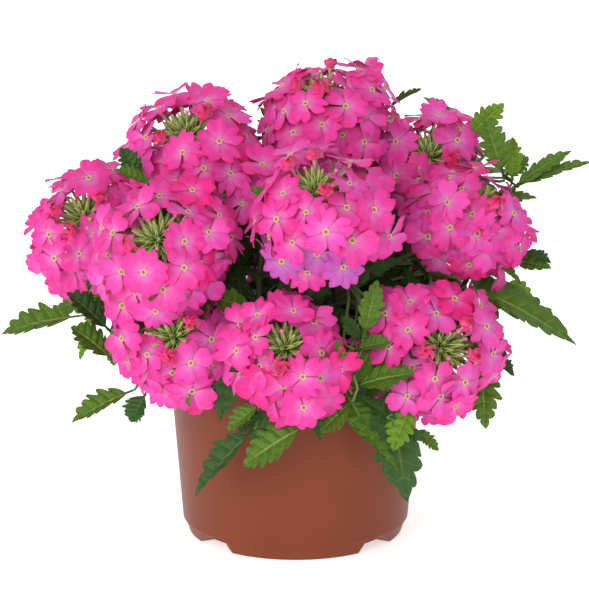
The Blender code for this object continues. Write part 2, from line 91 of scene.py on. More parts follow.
def onRings(radius, height, sides):  # points ring by ring round the upright axis
    a = turns(sides)
    return np.stack([radius * np.cos(a), radius * np.sin(a), height + 0 * a], -1)


def smoothStep(x, low, high):  # from 0 to 1, level at both ends
    t = np.clip((x - low) / (high - low), 0, 1)
    return t * t * (3 - 2 * t)


# Meshes from arrays

def gridFaces(index, wrap=False):  # four-sided faces between the rows and columns of point numbers
    if wrap:
        index = np.concatenate([index, index[:, :1]], 1)
    return np.stack([index[:-1, :-1], index[1:, :-1], index[1:, 1:], index[:-1, 1:]], -1).reshape(-1, 4)


def repeated(faces, copies, points):  # the same faces for each copy, with its own point numbers
    return (faces[None] + np.arange(copies)[:, None, None] * points).reshape(-1, faces.shape[1])


def linked(name, data):  # a new object in the scene
    thing = bpy.data.objects.new(name, data)
    bpy.context.scene.collection.objects.link(thing)
    return thing


def addPiece(name, points, faceSets, finish, nodes=(), uv=None, sharp=None):
    # faceSets is a list of arrays, each with faces of one number of corners.
    points = np.asarray(points, float).reshape(-1, 3) * mm
    loops = np.concatenate([f.ravel() for f in faceSets]).astype(np.int32)
    sizes = np.concatenate([np.full(len(f), f.shape[1]) for f in faceSets]).astype(np.int32)
    mesh = bpy.data.meshes.new(name)
    mesh.vertices.add(len(points))
    mesh.vertices.foreach_set("co", points.astype(np.float32).ravel())
    mesh.loops.add(len(loops))
    mesh.loops.foreach_set("vertex_index", loops)
    mesh.polygons.add(len(sizes))
    mesh.polygons.foreach_set("loop_start", (np.cumsum(sizes) - sizes).astype(np.int32))
    mesh.polygons.foreach_set("loop_total", sizes)
    mesh.update(calc_edges=True)
    if uv is not None:
        layer = mesh.uv_layers.new(name="OFBake")
        layer.data.foreach_set("uv", uv.reshape(-1, 2)[loops].astype(np.float32).ravel())
    mesh.shade_smooth()
    if sharp is not None:
        mesh.set_sharp_from_angle(angle=math.radians(sharp))
    mesh.materials.append(finish)
    piece = linked(name, mesh)
    dress(piece, nodes)
    print(f"{name}: {int((sizes - 2).sum())} triangles")
    return piece


def dress(piece, nodes):
    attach(piece, "root")
    if len(nodes):
        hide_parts(*nodes)


def turnedFaces(rings, sides):  # walls of a turned shape whose points go ring by ring
    return gridFaces(np.arange(rings * sides).reshape(rings, sides), wrap=True)[:, ::-1]


def closedFaces(rings, sides, copies=1):  # those walls with both end caps, for one shape or for many
    total = rings * sides
    sets = turnedFaces(rings, sides), np.arange(sides)[None, ::-1], np.arange(total - sides, total)[None]
    return [repeated(faces, copies, total) for faces in sets]


def columns(items, *keys):  # what each item has under a key, as one array for each key
    return [np.array([item[key] for item in items], float) for key in keys]


def thinBodies(top, under, keep):
    # Closed thin blades: top is (n, rows, cols, 3), under holds the middle columns of its underside,
    # keep says which columns of the top those are. Both sides share the points of the rim.
    n, rows, cols, _ = top.shape
    index = np.arange(rows * cols).reshape(rows, cols)
    columns = [0] + list(keep) + [cols - 1]
    below = index[:, columns].copy()
    inner = rows * cols + np.arange((rows - 2) * len(keep)).reshape(rows - 2, len(keep))
    below[1:-1, 1:-1] = inner
    points = np.concatenate([top.reshape(n, -1, 3), under[:, 1:-1].reshape(n, -1, 3)], 1)
    faces = [gridFaces(index), gridFaces(below)[:, ::-1]]
    if len(keep) < cols - 2:  # slivers that close the two ends
        ends = []
        for row, way in ((0, 1), (rows - 1, -1)):
            for a, c in zip(columns[:-1], columns[1:]):
                ends += [[index[row, a], index[row, b], index[row, b + 1]][::way] for b in range(a + 1, c)]
        faces.append(np.array(ends))
    return points, [repeated(f, n, points.shape[1]) for f in faces]


# Camera, lights, floor

camera = {
    "target": (-0.0005, 0, 0.1123),
    "distance": 1.3,
    "elevation": 13.8,
    "lens": 171.9,
}


def makeCamera():
    data = bpy.data.cameras.new("camera")
    data.lens, data.sensor_width = camera["lens"], 36
    data.clip_end = 20
    viewer = linked("camera", data)
    viewer.location = np.array(camera["target"]) + facing(0, camera["elevation"]) * camera["distance"]
    viewer.rotation_euler = (math.radians(90 - camera["elevation"]), 0, 0)
    bpy.context.scene.camera = viewer


studio = {  # where each soft light stands, its size and its power
    "key": ((-0.9, -1.1, 1.3), 1.4, 1.2),
    "front": ((-1.4, -1.1, 0.5), 1.2, 8),
    "fill": ((-0.25, -1.5, 0.8), 1.2, 11),
    "back": ((0.2, 1.4, 0.9), 1.2, 6),
}
studioAim = (0, 0, 0.12)  # what they all face
skyStrength = 0.54
floorLook = {"reach": 6, "white": 0.9, "glow": 0.58}


def makeStudio():
    for name, (place, size, power) in studio.items():
        data = bpy.data.lights.new(name, "AREA")
        data.shape, data.size, data.energy = "DISK", size, power
        lamp = linked(name, data)
        lamp.location = place
        towards = unit(np.array(studioAim) - np.array(place))
        lamp.rotation_euler = (math.acos(-towards[2]), 0, math.atan2(towards[1], towards[0]) - math.pi / 2)
    world = bpy.data.worlds.new("studio")
    bpy.context.scene.world = world
    world.use_nodes = True
    world.node_tree.nodes["Background"].inputs["Color"].default_value = (1, 1, 1, 1)
    world.node_tree.nodes["Background"].inputs["Strength"].default_value = skyStrength
    bpy.context.scene.view_settings.view_transform = "Standard"
    reach, white = floorLook["reach"], floorLook["white"]
    mesh = bpy.data.meshes.new("floor")
    mesh.from_pydata([(-reach, -reach, 0), (reach, -reach, 0), (reach, reach, 0), (-reach, reach, 0)], [],
                     [(0, 1, 2, 3)])
    floor = linked("floor", mesh)
    mesh.materials.append(plainFinish("floorWhite", (white, white, white), 0.9, Emission_Color=(1, 1, 1, 1),
                                      Emission_Strength=floorLook["glow"]))


# Materials

def plainFinish(name, colour, roughness, **sockets):
    mat = bpy.data.materials.new(name)
    mat.use_nodes = True
    shader = mat.node_tree.nodes["Principled BSDF"]
    shader.inputs["Base Color"].default_value = (*colour, 1)
    shader.inputs["Roughness"].default_value = roughness
    for socket, value in sockets.items():
        shader.inputs[socket.replace("_", " ")].default_value = value
    return mat


class Nodes:
    # Short words for wiring one material's nodes
    def __init__(self, mat):
        self.tree = mat.node_tree
        self.shader = self.tree.nodes["Principled BSDF"]

    def add(self, kind, **values):
        node = self.tree.nodes.new("ShaderNode" + kind)
        for key, value in values.items():
            setattr(node, key, value)
        return node

    def feed(self, node, **values):  # numbers go on sockets, anything else is linked
        for key, value in values.items():
            socket = node.inputs[int(key[1:])] if key[1:].isdigit() else node.inputs[key.replace("_", " ")]
            if isinstance(value, bpy.types.NodeSocket):
                self.tree.links.new(value, socket)
            else:
                socket.default_value = value
        return node

    def maths(self, operation, *values, clamp=False):
        node = self.add("Math", operation=operation, use_clamp=clamp)
        return self.feed(node, **{f"_{i}": v for i, v in enumerate(values)}).outputs[0]

    def ramp(self, factor, stops):
        node = self.feed(self.add("ValToRGB"), Fac=factor)
        elements = node.color_ramp.elements
        while len(elements) < len(stops):
            elements.new(0.5)
        for element, (place, colour) in zip(elements, stops):
            element.position = place
            element.color = (*colour, 1)
        return node.outputs["Color"]

    def mix(self, factor, first, second, blend="MIX"):
        node = self.add("Mix", data_type="RGBA", blend_type=blend)
        for place, value in ((0, factor), (6, first), (7, second)):
            if isinstance(value, bpy.types.NodeSocket):
                self.tree.links.new(value, node.inputs[place])
            else:
                node.inputs[place].default_value = value if place == 0 else (*value, 1)
        return node.outputs[2]

    def placeOnPiece(self):  # the two numbers of the piece's own map: across and along
        split = self.add("SeparateXYZ")
        self.feed(split, Vector=self.add("UVMap", uv_map="OFBake").outputs[0])
        return split.outputs["X"], split.outputs["Y"]

    def noise(self, vector, scale, detail=3, roughness=0.55):
        node = self.add("TexNoise")
        return self.feed(node, Vector=vector, Scale=scale, Detail=detail, Roughness=roughness).outputs["Fac"]

    def bump(self, height, strength, distance):
        node = self.feed(self.add("Bump"), Height=height, Strength=strength, Distance=distance)
        self.feed(self.shader, Normal=node.outputs[0])


def petalFinish(name, throat, middle, edge, rim):
    # Colour runs from the throat to the rim along the petal, with fine streaks and a pale midline.
    mat = plainFinish(name, middle, 0.6, Sheen_Weight=0.06, Sheen_Roughness=0.4, Specular_IOR_Level=0.2,
                      Subsurface_Weight=0.35, Subsurface_Radius=(1.0, 0.35, 0.6), Subsurface_Scale=0.002)
    n = Nodes(mat)
    x, y = n.placeOnPiece()
    along = n.maths("MULTIPLY", y, 2)
    body = n.ramp(along, [(0.0, throat), (0.12, throat), (0.45, middle), (0.8, edge), (1.0, rim)])
    spread = n.feed(n.add("CombineXYZ"), X=n.maths("MULTIPLY", x, 60), Y=n.maths("MULTIPLY", y, 5)).outputs[0]
    streaks = n.noise(spread, 1.0, 2)
    lighter = n.maths("MULTIPLY", n.maths("SUBTRACT", streaks, 0.42, clamp=True), 0.9)
    body = n.mix(lighter, body, tuple(min(c * 1.12 + 0.05, 1) for c in middle))
    fromMiddle = n.maths("ABSOLUTE", n.maths("SUBTRACT", x, mapMiddle))
    line = n.maths("SUBTRACT", 1.0, n.maths("MULTIPLY", fromMiddle, 46), clamp=True)
    fade = n.maths("SUBTRACT", 0.48, n.maths("MULTIPLY", y, 1.8), clamp=True)
    n.feed(n.shader, Base_Color=n.mix(n.maths("MULTIPLY", line, fade), body, (0.9, 0.54, 0.76)))
    n.bump(streaks, 0.25, 0.0003)
    return mat


def leafFinish(name, blade, light, vein):
    # A pale midrib, and side veins that run out to the tooth tips, sunk between puckered cells.
    # The map's second number counts teeth, so that a vein meets each of them.
    mat = plainFinish(name, blade, 0.55, Specular_IOR_Level=0.27)
    n = Nodes(mat)
    x, y = n.placeOnPiece()
    out = n.maths("ABSOLUTE", n.maths("MULTIPLY", n.maths("SUBTRACT", x, mapMiddle), 4.3))
    tooth = n.maths("FRACT", n.maths("ADD", n.maths("MULTIPLY", y, 1 / leafShape["mapTooth"]), 0.9))
    wave = n.maths("ABSOLUTE", n.maths("SUBTRACT", tooth, 0.5))
    side = n.maths("SUBTRACT", 1.0, n.maths("MULTIPLY", wave, 9), clamp=True)
    side = n.maths("MULTIPLY", side, n.maths("SUBTRACT", 0.55, n.maths("MULTIPLY", out, 0.45), clamp=True))
    middle = n.maths("SUBTRACT", 1.15, n.maths("MULTIPLY", out, 11), clamp=True)
    veins = n.maths("MAXIMUM", middle, side, clamp=True)
    uv = n.add("UVMap", uv_map="OFBake").outputs[0]
    cells = n.feed(n.add("TexVoronoi", feature="SMOOTH_F1"), Vector=uv, Scale=46).outputs["Distance"]
    mottle = n.maths("SUBTRACT", n.noise(uv, 9, 3), 0.38, clamp=True)
    tone = n.mix(n.maths("MULTIPLY", mottle, 2.6, clamp=True), blade, light)
    tone = n.mix(n.maths("MULTIPLY", cells, 0.7), tone, tuple(c * 1.5 for c in light))
    n.feed(n.shader, Base_Color=n.mix(n.maths("MULTIPLY", veins, 0.75), tone, vein))
    relief = n.maths("SUBTRACT", n.maths("MULTIPLY", cells, -0.5), veins)
    n.bump(relief, 0.8, 0.0007)
    return mat


def ribbedFinish(name, ribs, grooveAndShade, ribAndHighlight, tip):
    # Ribs and grooves round the piece, flushed with another colour towards its tip. The ribs' light colour is
    # partly painted highlight and the grooves' dark one partly painted shade.
    # The map's first number is half the share of a turn.
    mat = plainFinish(name, grooveAndShade, 0.6, Specular_IOR_Level=0.3)
    n = Nodes(mat)
    x, y = n.placeOnPiece()
    turn = n.maths("COSINE", n.maths("MULTIPLY", x, ribs * 2 * math.pi * 2))
    ribAndHighlightMask = n.maths("MULTIPLY", n.maths("ADD", turn, 0.25, clamp=True), 0.8)
    body = n.mix(ribAndHighlightMask, grooveAndShade, ribAndHighlight)
    flush = n.maths("MULTIPLY", n.maths("SUBTRACT", y, 0.26, clamp=True), 3.0, clamp=True)
    n.feed(n.shader, Base_Color=n.mix(flush, body, tip))
    return mat


def speckledFinish(name, dark, light, roughness, scale, bump=0.4, depth=0.0006):
    mat = plainFinish(name, dark, roughness, Specular_IOR_Level=0.3)
    n = Nodes(mat)
    place = n.add("TexCoord").outputs["Object"]
    grain = n.noise(place, scale, 5, 0.65)
    n.feed(n.shader, Base_Color=n.ramp(grain, [(0.35, dark), (0.7, light)]))
    n.bump(grain, bump, depth)
    return mat


def potFinish():
    # Satin moulded plastic: hardly any change of colour and a fine grain.
    mat = plainFinish("potPlastic", (0.19, 0.037, 0.015), 0.42, Specular_IOR_Level=0.22)
    n = Nodes(mat)
    place = n.add("TexCoord").outputs["Object"]
    cloud = n.noise(place, 22, 3)
    n.feed(n.shader, Base_Color=n.ramp(cloud, [(0.3, (0.187, 0.039, 0.0145)), (0.7, (0.212, 0.045, 0.0175))]))
    grain = n.noise(place, 1500, 2)
    n.feed(n.shader, Roughness=n.maths("ADD", 0.36, n.maths("MULTIPLY", cloud, 0.12)))
    n.bump(grain, 0.12, 0.0001)
    return mat


# Plant layout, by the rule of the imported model's own stems

stems = {  # radii; heights of the two rings on the foot where they start; how their curves leave and end
    "radius": 1.75, "tipRadius": 0.85, "shootRadius": 1.2, "shootTipRadius": 0.7,
    "rings": (4.6, 11.2), "sunk": 1.5, "even": 0.85, "rise": (0.35, 0.9), "leastRise": 0.5,
    "leave": 0.36, "headEase": 0.34, "shootEase": (0.36, 0.62), "steps": 25,
    "fork": 15, "setback": 2.5, "aside": 0.5, "lean": (0.8, 0.5), "shootLeave": 0.35, "shootSteps": 16,
}

heads = {  # middle of the dome, where it faces (azimuth, elevation), size
    "far_left": ((-103, 4, 141), (-62, 24), 0.94),
    "upper_left": ((-47, 0, 180), (-25, 48), 1.05),
    "left": ((-59, -54, 145), (-26, 28), 1.04),
    "low_left": ((-60, -54, 99), (-32, -2), 0.92),
    "low_front": ((-3, -76, 101), (0, 2), 0.9),
    "front": ((12, -62, 162), (4, 32), 1.08),
    "top": ((18, 12, 197), (10, 66), 1.05),
    "upper_right": ((65, 20, 176), (32, 44), 0.9),
    "right": ((80, -17, 144), (46, 16), 0.92),
    "low_right": ((66, -54, 100), (24, 0), 1.08),
    "inner": ((-15, -14, 160), (-8, 58), 0.75),
    "top_back": ((18, 60, 172), (175, 40), 1.05),
    "back_left": ((-60, 52, 150), (-130, 28), 1.1),
    "back_right": ((62, 62, 148), (140, 28), 1.1),
    "back": ((0, 90, 122), (180, 8), 1.1),
    "low_back_left": ((-60, 62, 101), (-138, -2), 1.0),
    "low_back_right": ((60, 64, 101), (137, -2), 1.0),
}
domes = {  # where the middle of a head's florets faces, and its stem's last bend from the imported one
    "far_left": ((-14, 34), (2, 0, 4)),
    "upper_left": ((-18, 50), (-2.5, 0, 3)),
    "left": ((-12, 34), (-2.5, 0, 2.5)),
    "low_left": ((-2, 28), (2, 0, 1.5)),
    "low_front": ((-2, 26), (-1, 0, 0.5)),
    "front": ((-18, 58), (0, 0, 3.5)),
    "top": ((-18, 66), (-3, 0, 1)),
    "upper_right": ((-2, 30), (0.5, 0, -2)),
    "right": ((46, 54), (4, 0, 6)),
    "low_right": ((20, 22), (-2.5, 0, -2.5)),
    "inner": ((180, 76), (4, 0, 8)),
}
shoots = {  # the stem that carries it, its end and the elevation it ends with
    "left": ("far_left", (-92, -4, 109), -8),
    "low_left": ("low_left", (-76, -34, 86), -40),
    "upper_left": ("upper_left", (-68, 18, 168), 45),
    "top_right": ("top", (52, 34, 186), 55),
    "upper_right": ("upper_right", (90, 16, 178), 55),
    "right": ("right", (103, 8, 162), 20),
    "right_middle": ("right", (96, 4, 128), 0),
    "low_right": ("low_right", (90, -22, 118), -15),
    "under_right": ("low_right", (88, -34, 86), -60),
    "pot_left": (None, (-31, -67, 74), -70),
    "pot_middle": (None, (5, -76, 80), -70),
    "pot_right": (None, (42, -60, 78), -75),
    "inner_front": ("front", (28, -44, 128), 20),
    "back_left": ("low_back_left", (-88, 34, 112), 0),
    "back_top": ("top_back", (-14, 62, 176), 40),
    "back_right": ("low_back_right", (90, 44, 112), -5),
    "back_middle": ("back", (30, 92, 112), -20),
    "pot_back": ("low_back_left", (-26, 74, 80), -65),
    "pot_back_right": ("low_back_right", (26, 74, 80), -65),
}
# A dark shade here is partly painted shade, for leaves that lie deep in or under the heads.
longLeaves = [  # shoot, share of its path where it starts, foot if stalked, tip, shade, any extra breadth
    ("left", 0.93, (-99, -8, 104), (-136, -3, 94), "mid", 1.5),
    ("low_left", 0.93, (-73, -38, 77), (-101, -42, 63), "mid", 1.15),
    ("low_left", 0.8, (-83, -30, 89), (-102, -28, 104), "mid", 1.6),
    ("low_left", 0.5, (-84, -26, 101), (-104, -24, 119), "dark", 1.35),
    ("low_left", 0.97, (-67, -46, 78), (-74, -48, 65), "dark", 1.7),
    ("upper_left", 0.93, None, (-76, 8, 178), "mid"),
    ("upper_left", 0.6, (-69, -18, 170), (-79, -20, 185), "dark", 1.2),
    ("upper_left", 0.5, (-64, -24, 168), (-81, -26, 176), "mid", 1.2),
    ("upper_right", 0.7, (80, 42, 181), (60, 44, 197), "mid"),
    ("upper_right", 0.9, (80, 22, 182), (96, 16, 199), "young"),
    ("upper_right", 0.62, (96, 8, 166), (86, 8, 194), "mid"),
    ("right", 0.8, (100, 12, 163), (100, 12, 184), "young"),
    ("right", 0.95, None, (127, 10, 178), "mid", 0.6),
    ("right", 0.99, None, (136, 8, 173), "mid", 0.55),
    ("right", 0.7, None, (111, 4, 157), "mid"),
    ("right_middle", 0.93, None, (117, -10, 127), "mid"),
    ("right_middle", 0.7, (105, -4, 134), (117, -8, 129), "dark"),
    ("low_right", 0.93, None, (127, -34, 97), "mid"),
    ("low_right", 0.75, None, (124, -8, 99), "mid"),
    ("low_right", 0.5, None, (99, -32, 84), "dark"),
    ("under_right", 0.93, None, (86, -42, 60), "mid"),
    ("under_right", 0.8, (88, -38, 91), (99, -36, 83), "dark", 1.5),
    ("pot_left", 0.8, (-18, -72, 69), (-45, -64, 35), "dark"),
    ("pot_left", 0.8, None, (-33, -70, 72), "dark"),
    ("pot_left", 0.7, (-15, -74, 81), (-30, -76, 69), "mid"),
    ("pot_left", 0.6, (-12, -73, 77), (-18, -70, 61), "dark", 1.2),
    ("pot_left", 0.5, (-13, -74, 78), (-26, -71, 66), "dark"),
    ("pot_middle", 0.9, (5, -81, 73), (-23, -79, 54), "mid", 1.35),
    ("pot_middle", 0.9, None, (11, -77, 65), "dark"),
    ("pot_middle", 0.7, (25, -74, 82), (11, -78, 69), "mid", 1.6),
    ("pot_middle", 0.8, (18, -77, 78), (46, -68, 47), "mid", 0.7),
    ("pot_right", 0.97, None, (50, -62, 32), "dark", 1.05),
    ("pot_right", 0.85, (52, -60, 79), (43, -70, 58), "young", 1.25),
    ("pot_right", 0.9, (53, -55, 64), (64, -56, 54), "mid"),
    ("pot_right", 0.6, (25, -69, 87), (52, -75, 95), "mid", 1.4),
    ("pot_right", 0.8, (41, -61, 83), (35, -64, 64), "dark", 1.5),
    ("pot_right", 0.6, (22, -67, 84), (32, -66, 65), "mid", 1.5),
    ("pot_right", 0.4, (40, -57, 97), (29, -62, 79), "dark", 1.4),
    ("inner_front", 0.4, (35, -61, 105), (25, -64, 87), "mid", 1.2),
    ("inner_front", 0.8, (30, -60, 107), (36, -57, 133), "mid"),
    ("inner_front", 0.7, (29, -60, 106), (20, -63, 118), "dark"),
    ("inner_front", 0.6, (26, -64, 103), (42, -67, 107), "mid"),
    ("inner_front", 0.5, (27, -65, 98), (18, -74, 90), "dark"),
    ("pot_right", 0.5, (30, -60, 98), (45, -67, 88), "dark"),
    ("pot_right", 0.7, (25, -69, 84), (40, -71, 75), "dark"),
    ("back_left", 0.93, None, (-112, 50, 104), "mid"),
    ("back_top", 0.93, None, (-14, 84, 180), "mid"),
    ("back_right", 0.93, None, (100, 70, 96), "mid"),
    ("back_middle", 0.93, None, (40, 118, 98), "mid"),
    ("pot_back", 0.93, None, (-34, 80, 44), "mid"),
    ("pot_back_right", 0.93, None, (36, 78, 46), "mid"),
]


def droopEase(nose):  # how far back the last handle reaches, longer the more the shoot noses down
    least, more = stems["shootEase"]
    return least + more * math.sin(math.radians(max(-nose, 0)))


def layStems():
    # Cubic curves from the foot, spread round it in the order of their ends, to every head and shoot.
    targets = {}
    for name, (middle, look, _) in heads.items():
        axis = facing(*look)
        targets["head", name] = (np.array(middle) - axis * headShape["sink"], axis, stems["headEase"])
    for name, (carrier, end, nose) in shoots.items():
        if carrier is None:
            azimuth = math.degrees(math.atan2(end[0], -end[1]))
            targets["shoot", name] = (np.array(end, float), facing(azimuth, nose), droopEase(nose))
    order = sorted(targets, key=lambda key: math.atan2(targets[key][0][0], -targets[key][0][1]))
    meanHeight = sum(target[0][2] for target in targets.values()) / len(targets)
    steps = stems["steps"]
    paths = {}
    for rank, key in enumerate(order):
        end, axis, ease = targets[key]
        even = -math.pi + 2 * math.pi * (rank + 0.5) / len(order)
        angle = (1 - stems["even"]) * math.atan2(end[0], -end[1]) + stems["even"] * even
        high = rank % 2 == 0
        outward = np.array([math.sin(angle), -math.cos(angle), 0])
        level = stems["rings"][1 if high else 0]
        radius = base["radius"] + (base["topRadius"] - base["radius"]) * level / base["height"]
        start = outward * (radius - stems["sunk"]) + up * (soil["top"] + soil["crown"] + level)
        rise = stems["rise"][1 if end[2] > meanHeight else 0]
        leave = unit(outward + up * (max(rise, stems["leastRise"]) if high else rise))
        reach = np.linalg.norm(end - start)
        first = start + leave * reach * stems["leave"]
        paths[key] = bezier(start, first, end - axis * reach * ease, end, steps)
        if key[0] == "head" and key[1] in domes:  # the last bend grows with the fourth power of the way
            paths[key] += np.linspace(0, 1, steps)[:, None] ** 4 * domes[key[1]][1]
    for name, (carrier, end, nose) in shoots.items():
        if carrier is not None:
            paths["shoot", name] = carriedPath(paths["head", carrier], np.array(end, float), nose)
    return paths


def carriedPath(stem, end, nose):  # a shoot that leaves the side of a stem just before its fork
    fork = stem[stems["fork"]]
    along = unit(fork - stem[stems["fork"] - 1])
    aside = end - fork
    aside = unit(aside - along * (aside @ along))
    start = fork - along * stems["setback"] + aside * stems["aside"]
    way = end - start
    reach = np.linalg.norm(way)
    ahead, rise = stems["lean"]
    leave = unit(aside + along * ahead + up * rise)
    handle = facing(math.degrees(math.atan2(way[0], -way[1])), nose) * reach * droopEase(nose)
    return bezier(start, start + leave * reach * stems["shootLeave"], end - handle, end, stems["shootSteps"])


# What keeps heads and shoots roughly apart: a coarse copy of each piece, asked whether two cross.
# Pieces of one owner aren't asked about each other, and the fine petals and leaves may still cross.

placed = []


def place(owner, points, faces):
    points = np.asarray(points, float)
    tree = BVHTree.FromPolygons(points.tolist(), faces)
    placed.append((owner, tree, points.min(0), points.max(0)))


def hasRoom(owners, points, faces):
    points = np.asarray(points, float)
    low, high, tree = points.min(0), points.max(0), None
    for other, there, start, end in placed:
        if other in owners or (low > end).any() or (high < start).any():
            continue
        tree = tree or BVHTree.FromPolygons(points.tolist(), faces)
        if tree.overlap(there):
            return False
    return True


coarse = {"stem": 1.0, "twig": 0.8, "waist": 0.7, "floretTube": 0.8, "neck": 1.5}  # how slim the copies are


def coarseTube(path, radius):  # four-sided
    side, other = squareTo(unit(np.gradient(path, axis=0)))
    corners = [path + side * radius, path + other * radius, path - side * radius, path - other * radius]
    faces = gridFaces(np.arange(len(path) * 4).reshape(-1, 4), wrap=True)
    return np.stack(corners, 1).reshape(-1, 3), faces.tolist()


def coarseFloret(root, throat, axis, turn, radius):  # a ten-point star and its three-sided tube
    side, other = squareTo(axis)
    reach = np.where(np.arange(10) % 2 == 0, radius, radius * coarse["waist"])[:, None]
    star = throat + around(side, other, turn + turns(10)) * reach
    foot = root + around(side, other, turn + turns(3)) * coarse["floretTube"]
    neck = foot + throat - root - axis * coarse["neck"]
    faces = [list(range(10)), [10, 11, 14, 13], [11, 12, 15, 14], [12, 10, 13, 15]]
    faces += [[i, (i + 1) % 10, 13 + i * 3 // 10] for i in range(10)]
    return np.concatenate([star, foot, neck]), faces


def coarseBall(middle, radius, stretch):  # five rings of eight points
    height, r = np.array(((-1, 0.05), (-0.6, 0.8), (0, 1), (0.6, 0.8), (1, 0.05))).T[..., None]
    faces = gridFaces(np.arange(40).reshape(5, 8), wrap=True).tolist()
    return onRings(r, height * stretch, 8).reshape(-1, 3) * radius + middle, faces


# Leaves: a centre line that droops, with toothed halves folded up from the midrib

leafShape = {  # lengths in mm, the rest as shares of a leaf's length or half-width, angles in radians
    "width": 0.19, "stubby": (0.4, 40), "thick": 0.35, "stalk": 0.12, "slant": 0.5, "foot": 0.75,
    "least": 0.12, "inset": 0.92, "uneven": 0.1, "crown": 0.12, "pucker": 0.1, "ruffle": 0.5,
    "outline": (2.84, 0.55, 1.05), "unevenWaves": (4.1, 3, 1.7), "ruffleWaves": 9, "narrow": (0.08, 0.3),
    "mapTooth": 0.053, "lowest": 3, "breadths": (0.9, 1.15), "cuts": (0.55, 1.1),
    "droops": (0.02, 0.2), "folds": (0.1, 0.45), "twists": (-0.5, 0.5),
}
leafKinds = {  # teeth down a side; places in a tooth and how far it stands out there; places across
    "plain": (5, ((0, 0.66), (0.25, 0.98), (0.7, 1.1), (0.94, 0.96)), (-1, -0.55, 0, 0.55, 1)),
    "long": (6, ((0, 0.62), (0.12, 0.84), (0.35, 1.02), (0.62, 1.1), (0.84, 1.06), (0.96, 0.88)),
             (-1, -0.7, -0.35, 0, 0.35, 0.7, 1)),
}
leafFields = ("root", "along", "upward", "length", "width", "droop", "fold", "twist", "phase", "cut")


def leafRows(teeth, tooth):
    # Rows down a leaf: the share of its length, the toothed and the smooth half-width, and teeth passed.
    # The smooth outline is a power of q times a power of 1 - q, scaled to about 1 where it is widest.
    place, reach = np.array(tooth).T
    q = np.append((np.arange(teeth)[:, None] + place) / teeth, 1.0)
    scale, rise, fall = leafShape["outline"]
    smooth = scale * q ** rise * (1 - q) ** fall
    toothed = smooth * np.append(np.tile(reach, teeth), 1.0)
    s = leafShape["stalk"] + (1 - leafShape["stalk"]) * q
    return np.append(0, s), np.append(0, toothed), np.append(0, smooth), np.append(-0.6, q * teeth)


def leafPoints(leaf, rows, edge, smooth, passed, across):
    # Centre line root + length (along s - droop s^2 up); half-width by the outline, folded by an angle,
    # slanted to the tip, puckered by a wave from tooth to tooth, all turned by a twist that grows.
    shape = leafShape
    one = lambda key: leaf[key][:, None, None]
    vec = lambda key: leaf[key][:, None, None, :]
    s, tooth, edge, smooth = (row[None, :, None] for row in (rows, passed, edge, smooth))
    u = across[None, None, :]
    length, droop, fold, phase = (one(key) for key in ("length", "droop", "fold", "phase"))
    centre = vec("along") * s[..., None] - up * (droop * s ** 2)[..., None]
    centre = vec("root") + centre * length[..., None]
    tangent = unit(vec("along") - up * (2 * droop * s)[..., None])
    normal = unit(vec("upward") - tangent * (vec("upward") * tangent).sum(-1, keepdims=True))
    side = np.cross(normal, tangent)
    angle = (one("twist") * s)[..., None]
    ct, st = np.cos(angle), np.sin(angle)
    side, normal = side * ct + normal * st, normal * ct - side * st
    byTooth, byPhase, bySide = shape["unevenWaves"]
    uneven = 1 + shape["uneven"] * np.sin(byTooth * tooth + byPhase * phase + bySide * np.sign(u))
    edge = (smooth + (edge - smooth) * one("cut")) * uneven
    half = one("width") * length * np.where(np.abs(u) > 0.8, edge, smooth * shape["inset"])
    half = half + shape["foot"] * (1 - smoothStep(s, *shape["narrow"])) + shape["least"]
    inner = 1 - np.abs(np.abs(u) * 2 - 1)
    wave = np.cos(2 * math.pi * (tooth - 0.1))
    rise = np.abs(u) * half * np.sin(fold) + inner * half * (shape["crown"] + shape["pucker"] * wave)
    rise = rise + shape["ruffle"] * np.sin(shape["ruffleWaves"] * s + phase + 2 * u) * np.abs(u) * smooth
    ahead = shape["slant"] * np.abs(u) * (half - shape["least"])
    points = centre + side * (u * half * np.cos(fold))[..., None]
    return points + normal * rise[..., None] + tangent * ahead[..., None]


leafOutlines = {kind: leafRows(teeth, tooth) for kind, (teeth, tooth, _) in leafKinds.items()}
leaves = {(kind, shade): [] for kind in leafKinds for shade in ("dark", "mid", "young")}


def tryLeaf(owner, root, along, upward, length, shade, droop=None, beside=None, breadth=1):
    stubby, ofLength = leafShape["stubby"]
    width = leafShape["width"] * breadth
    leaf = {
        "root": root, "along": along, "upward": upward, "length": length,
        "cut": dice.uniform(*leafShape["cuts"]),
        "width": width * dice.uniform(*leafShape["breadths"]) * (1 + stubby * max(0, 1 - length / ofLength)),
        "droop": dice.uniform(*leafShape["droops"]) if droop is None else droop,
        "fold": dice.uniform(*leafShape["folds"]), "twist": dice.uniform(*leafShape["twists"]),
        "phase": dice.uniform(*anyTurn),
    }
    arrays = dict(zip(leafFields, columns([leaf], *leafFields)))
    rows, _, smooth, passed = (part[2::4] for part in leafOutlines["plain"])
    points = leafPoints(arrays, rows, smooth, smooth, passed, np.array([-1.0, 0, 1]))
    faces = gridFaces(np.arange(len(rows) * 3).reshape(-1, 3)).tolist()
    points = points.reshape(-1, 3)
    if (points[:, 2] < leafShape["lowest"]).any() or not hasRoom((owner, beside), points, faces):
        return False
    place(owner + "Leaf", points, faces)
    leaves["long" if beside else "plain", shade].append(leaf)
    return True


def leaning(tangent, angle, opening):  # a direction that leaves a twig at an angle round it
    side, other = squareTo(tangent)
    outward = side * math.cos(angle) + other * math.sin(angle)
    return tangent * math.cos(math.radians(opening)) + outward * math.sin(math.radians(opening))


# Inner and low leaves get the dark green more often: partly painted shade, where the crown shades them.
toneAndPaintedShade = {"young": 0.45, "outside": 62, "high": 150, "mid": (0.35, 0.7)}


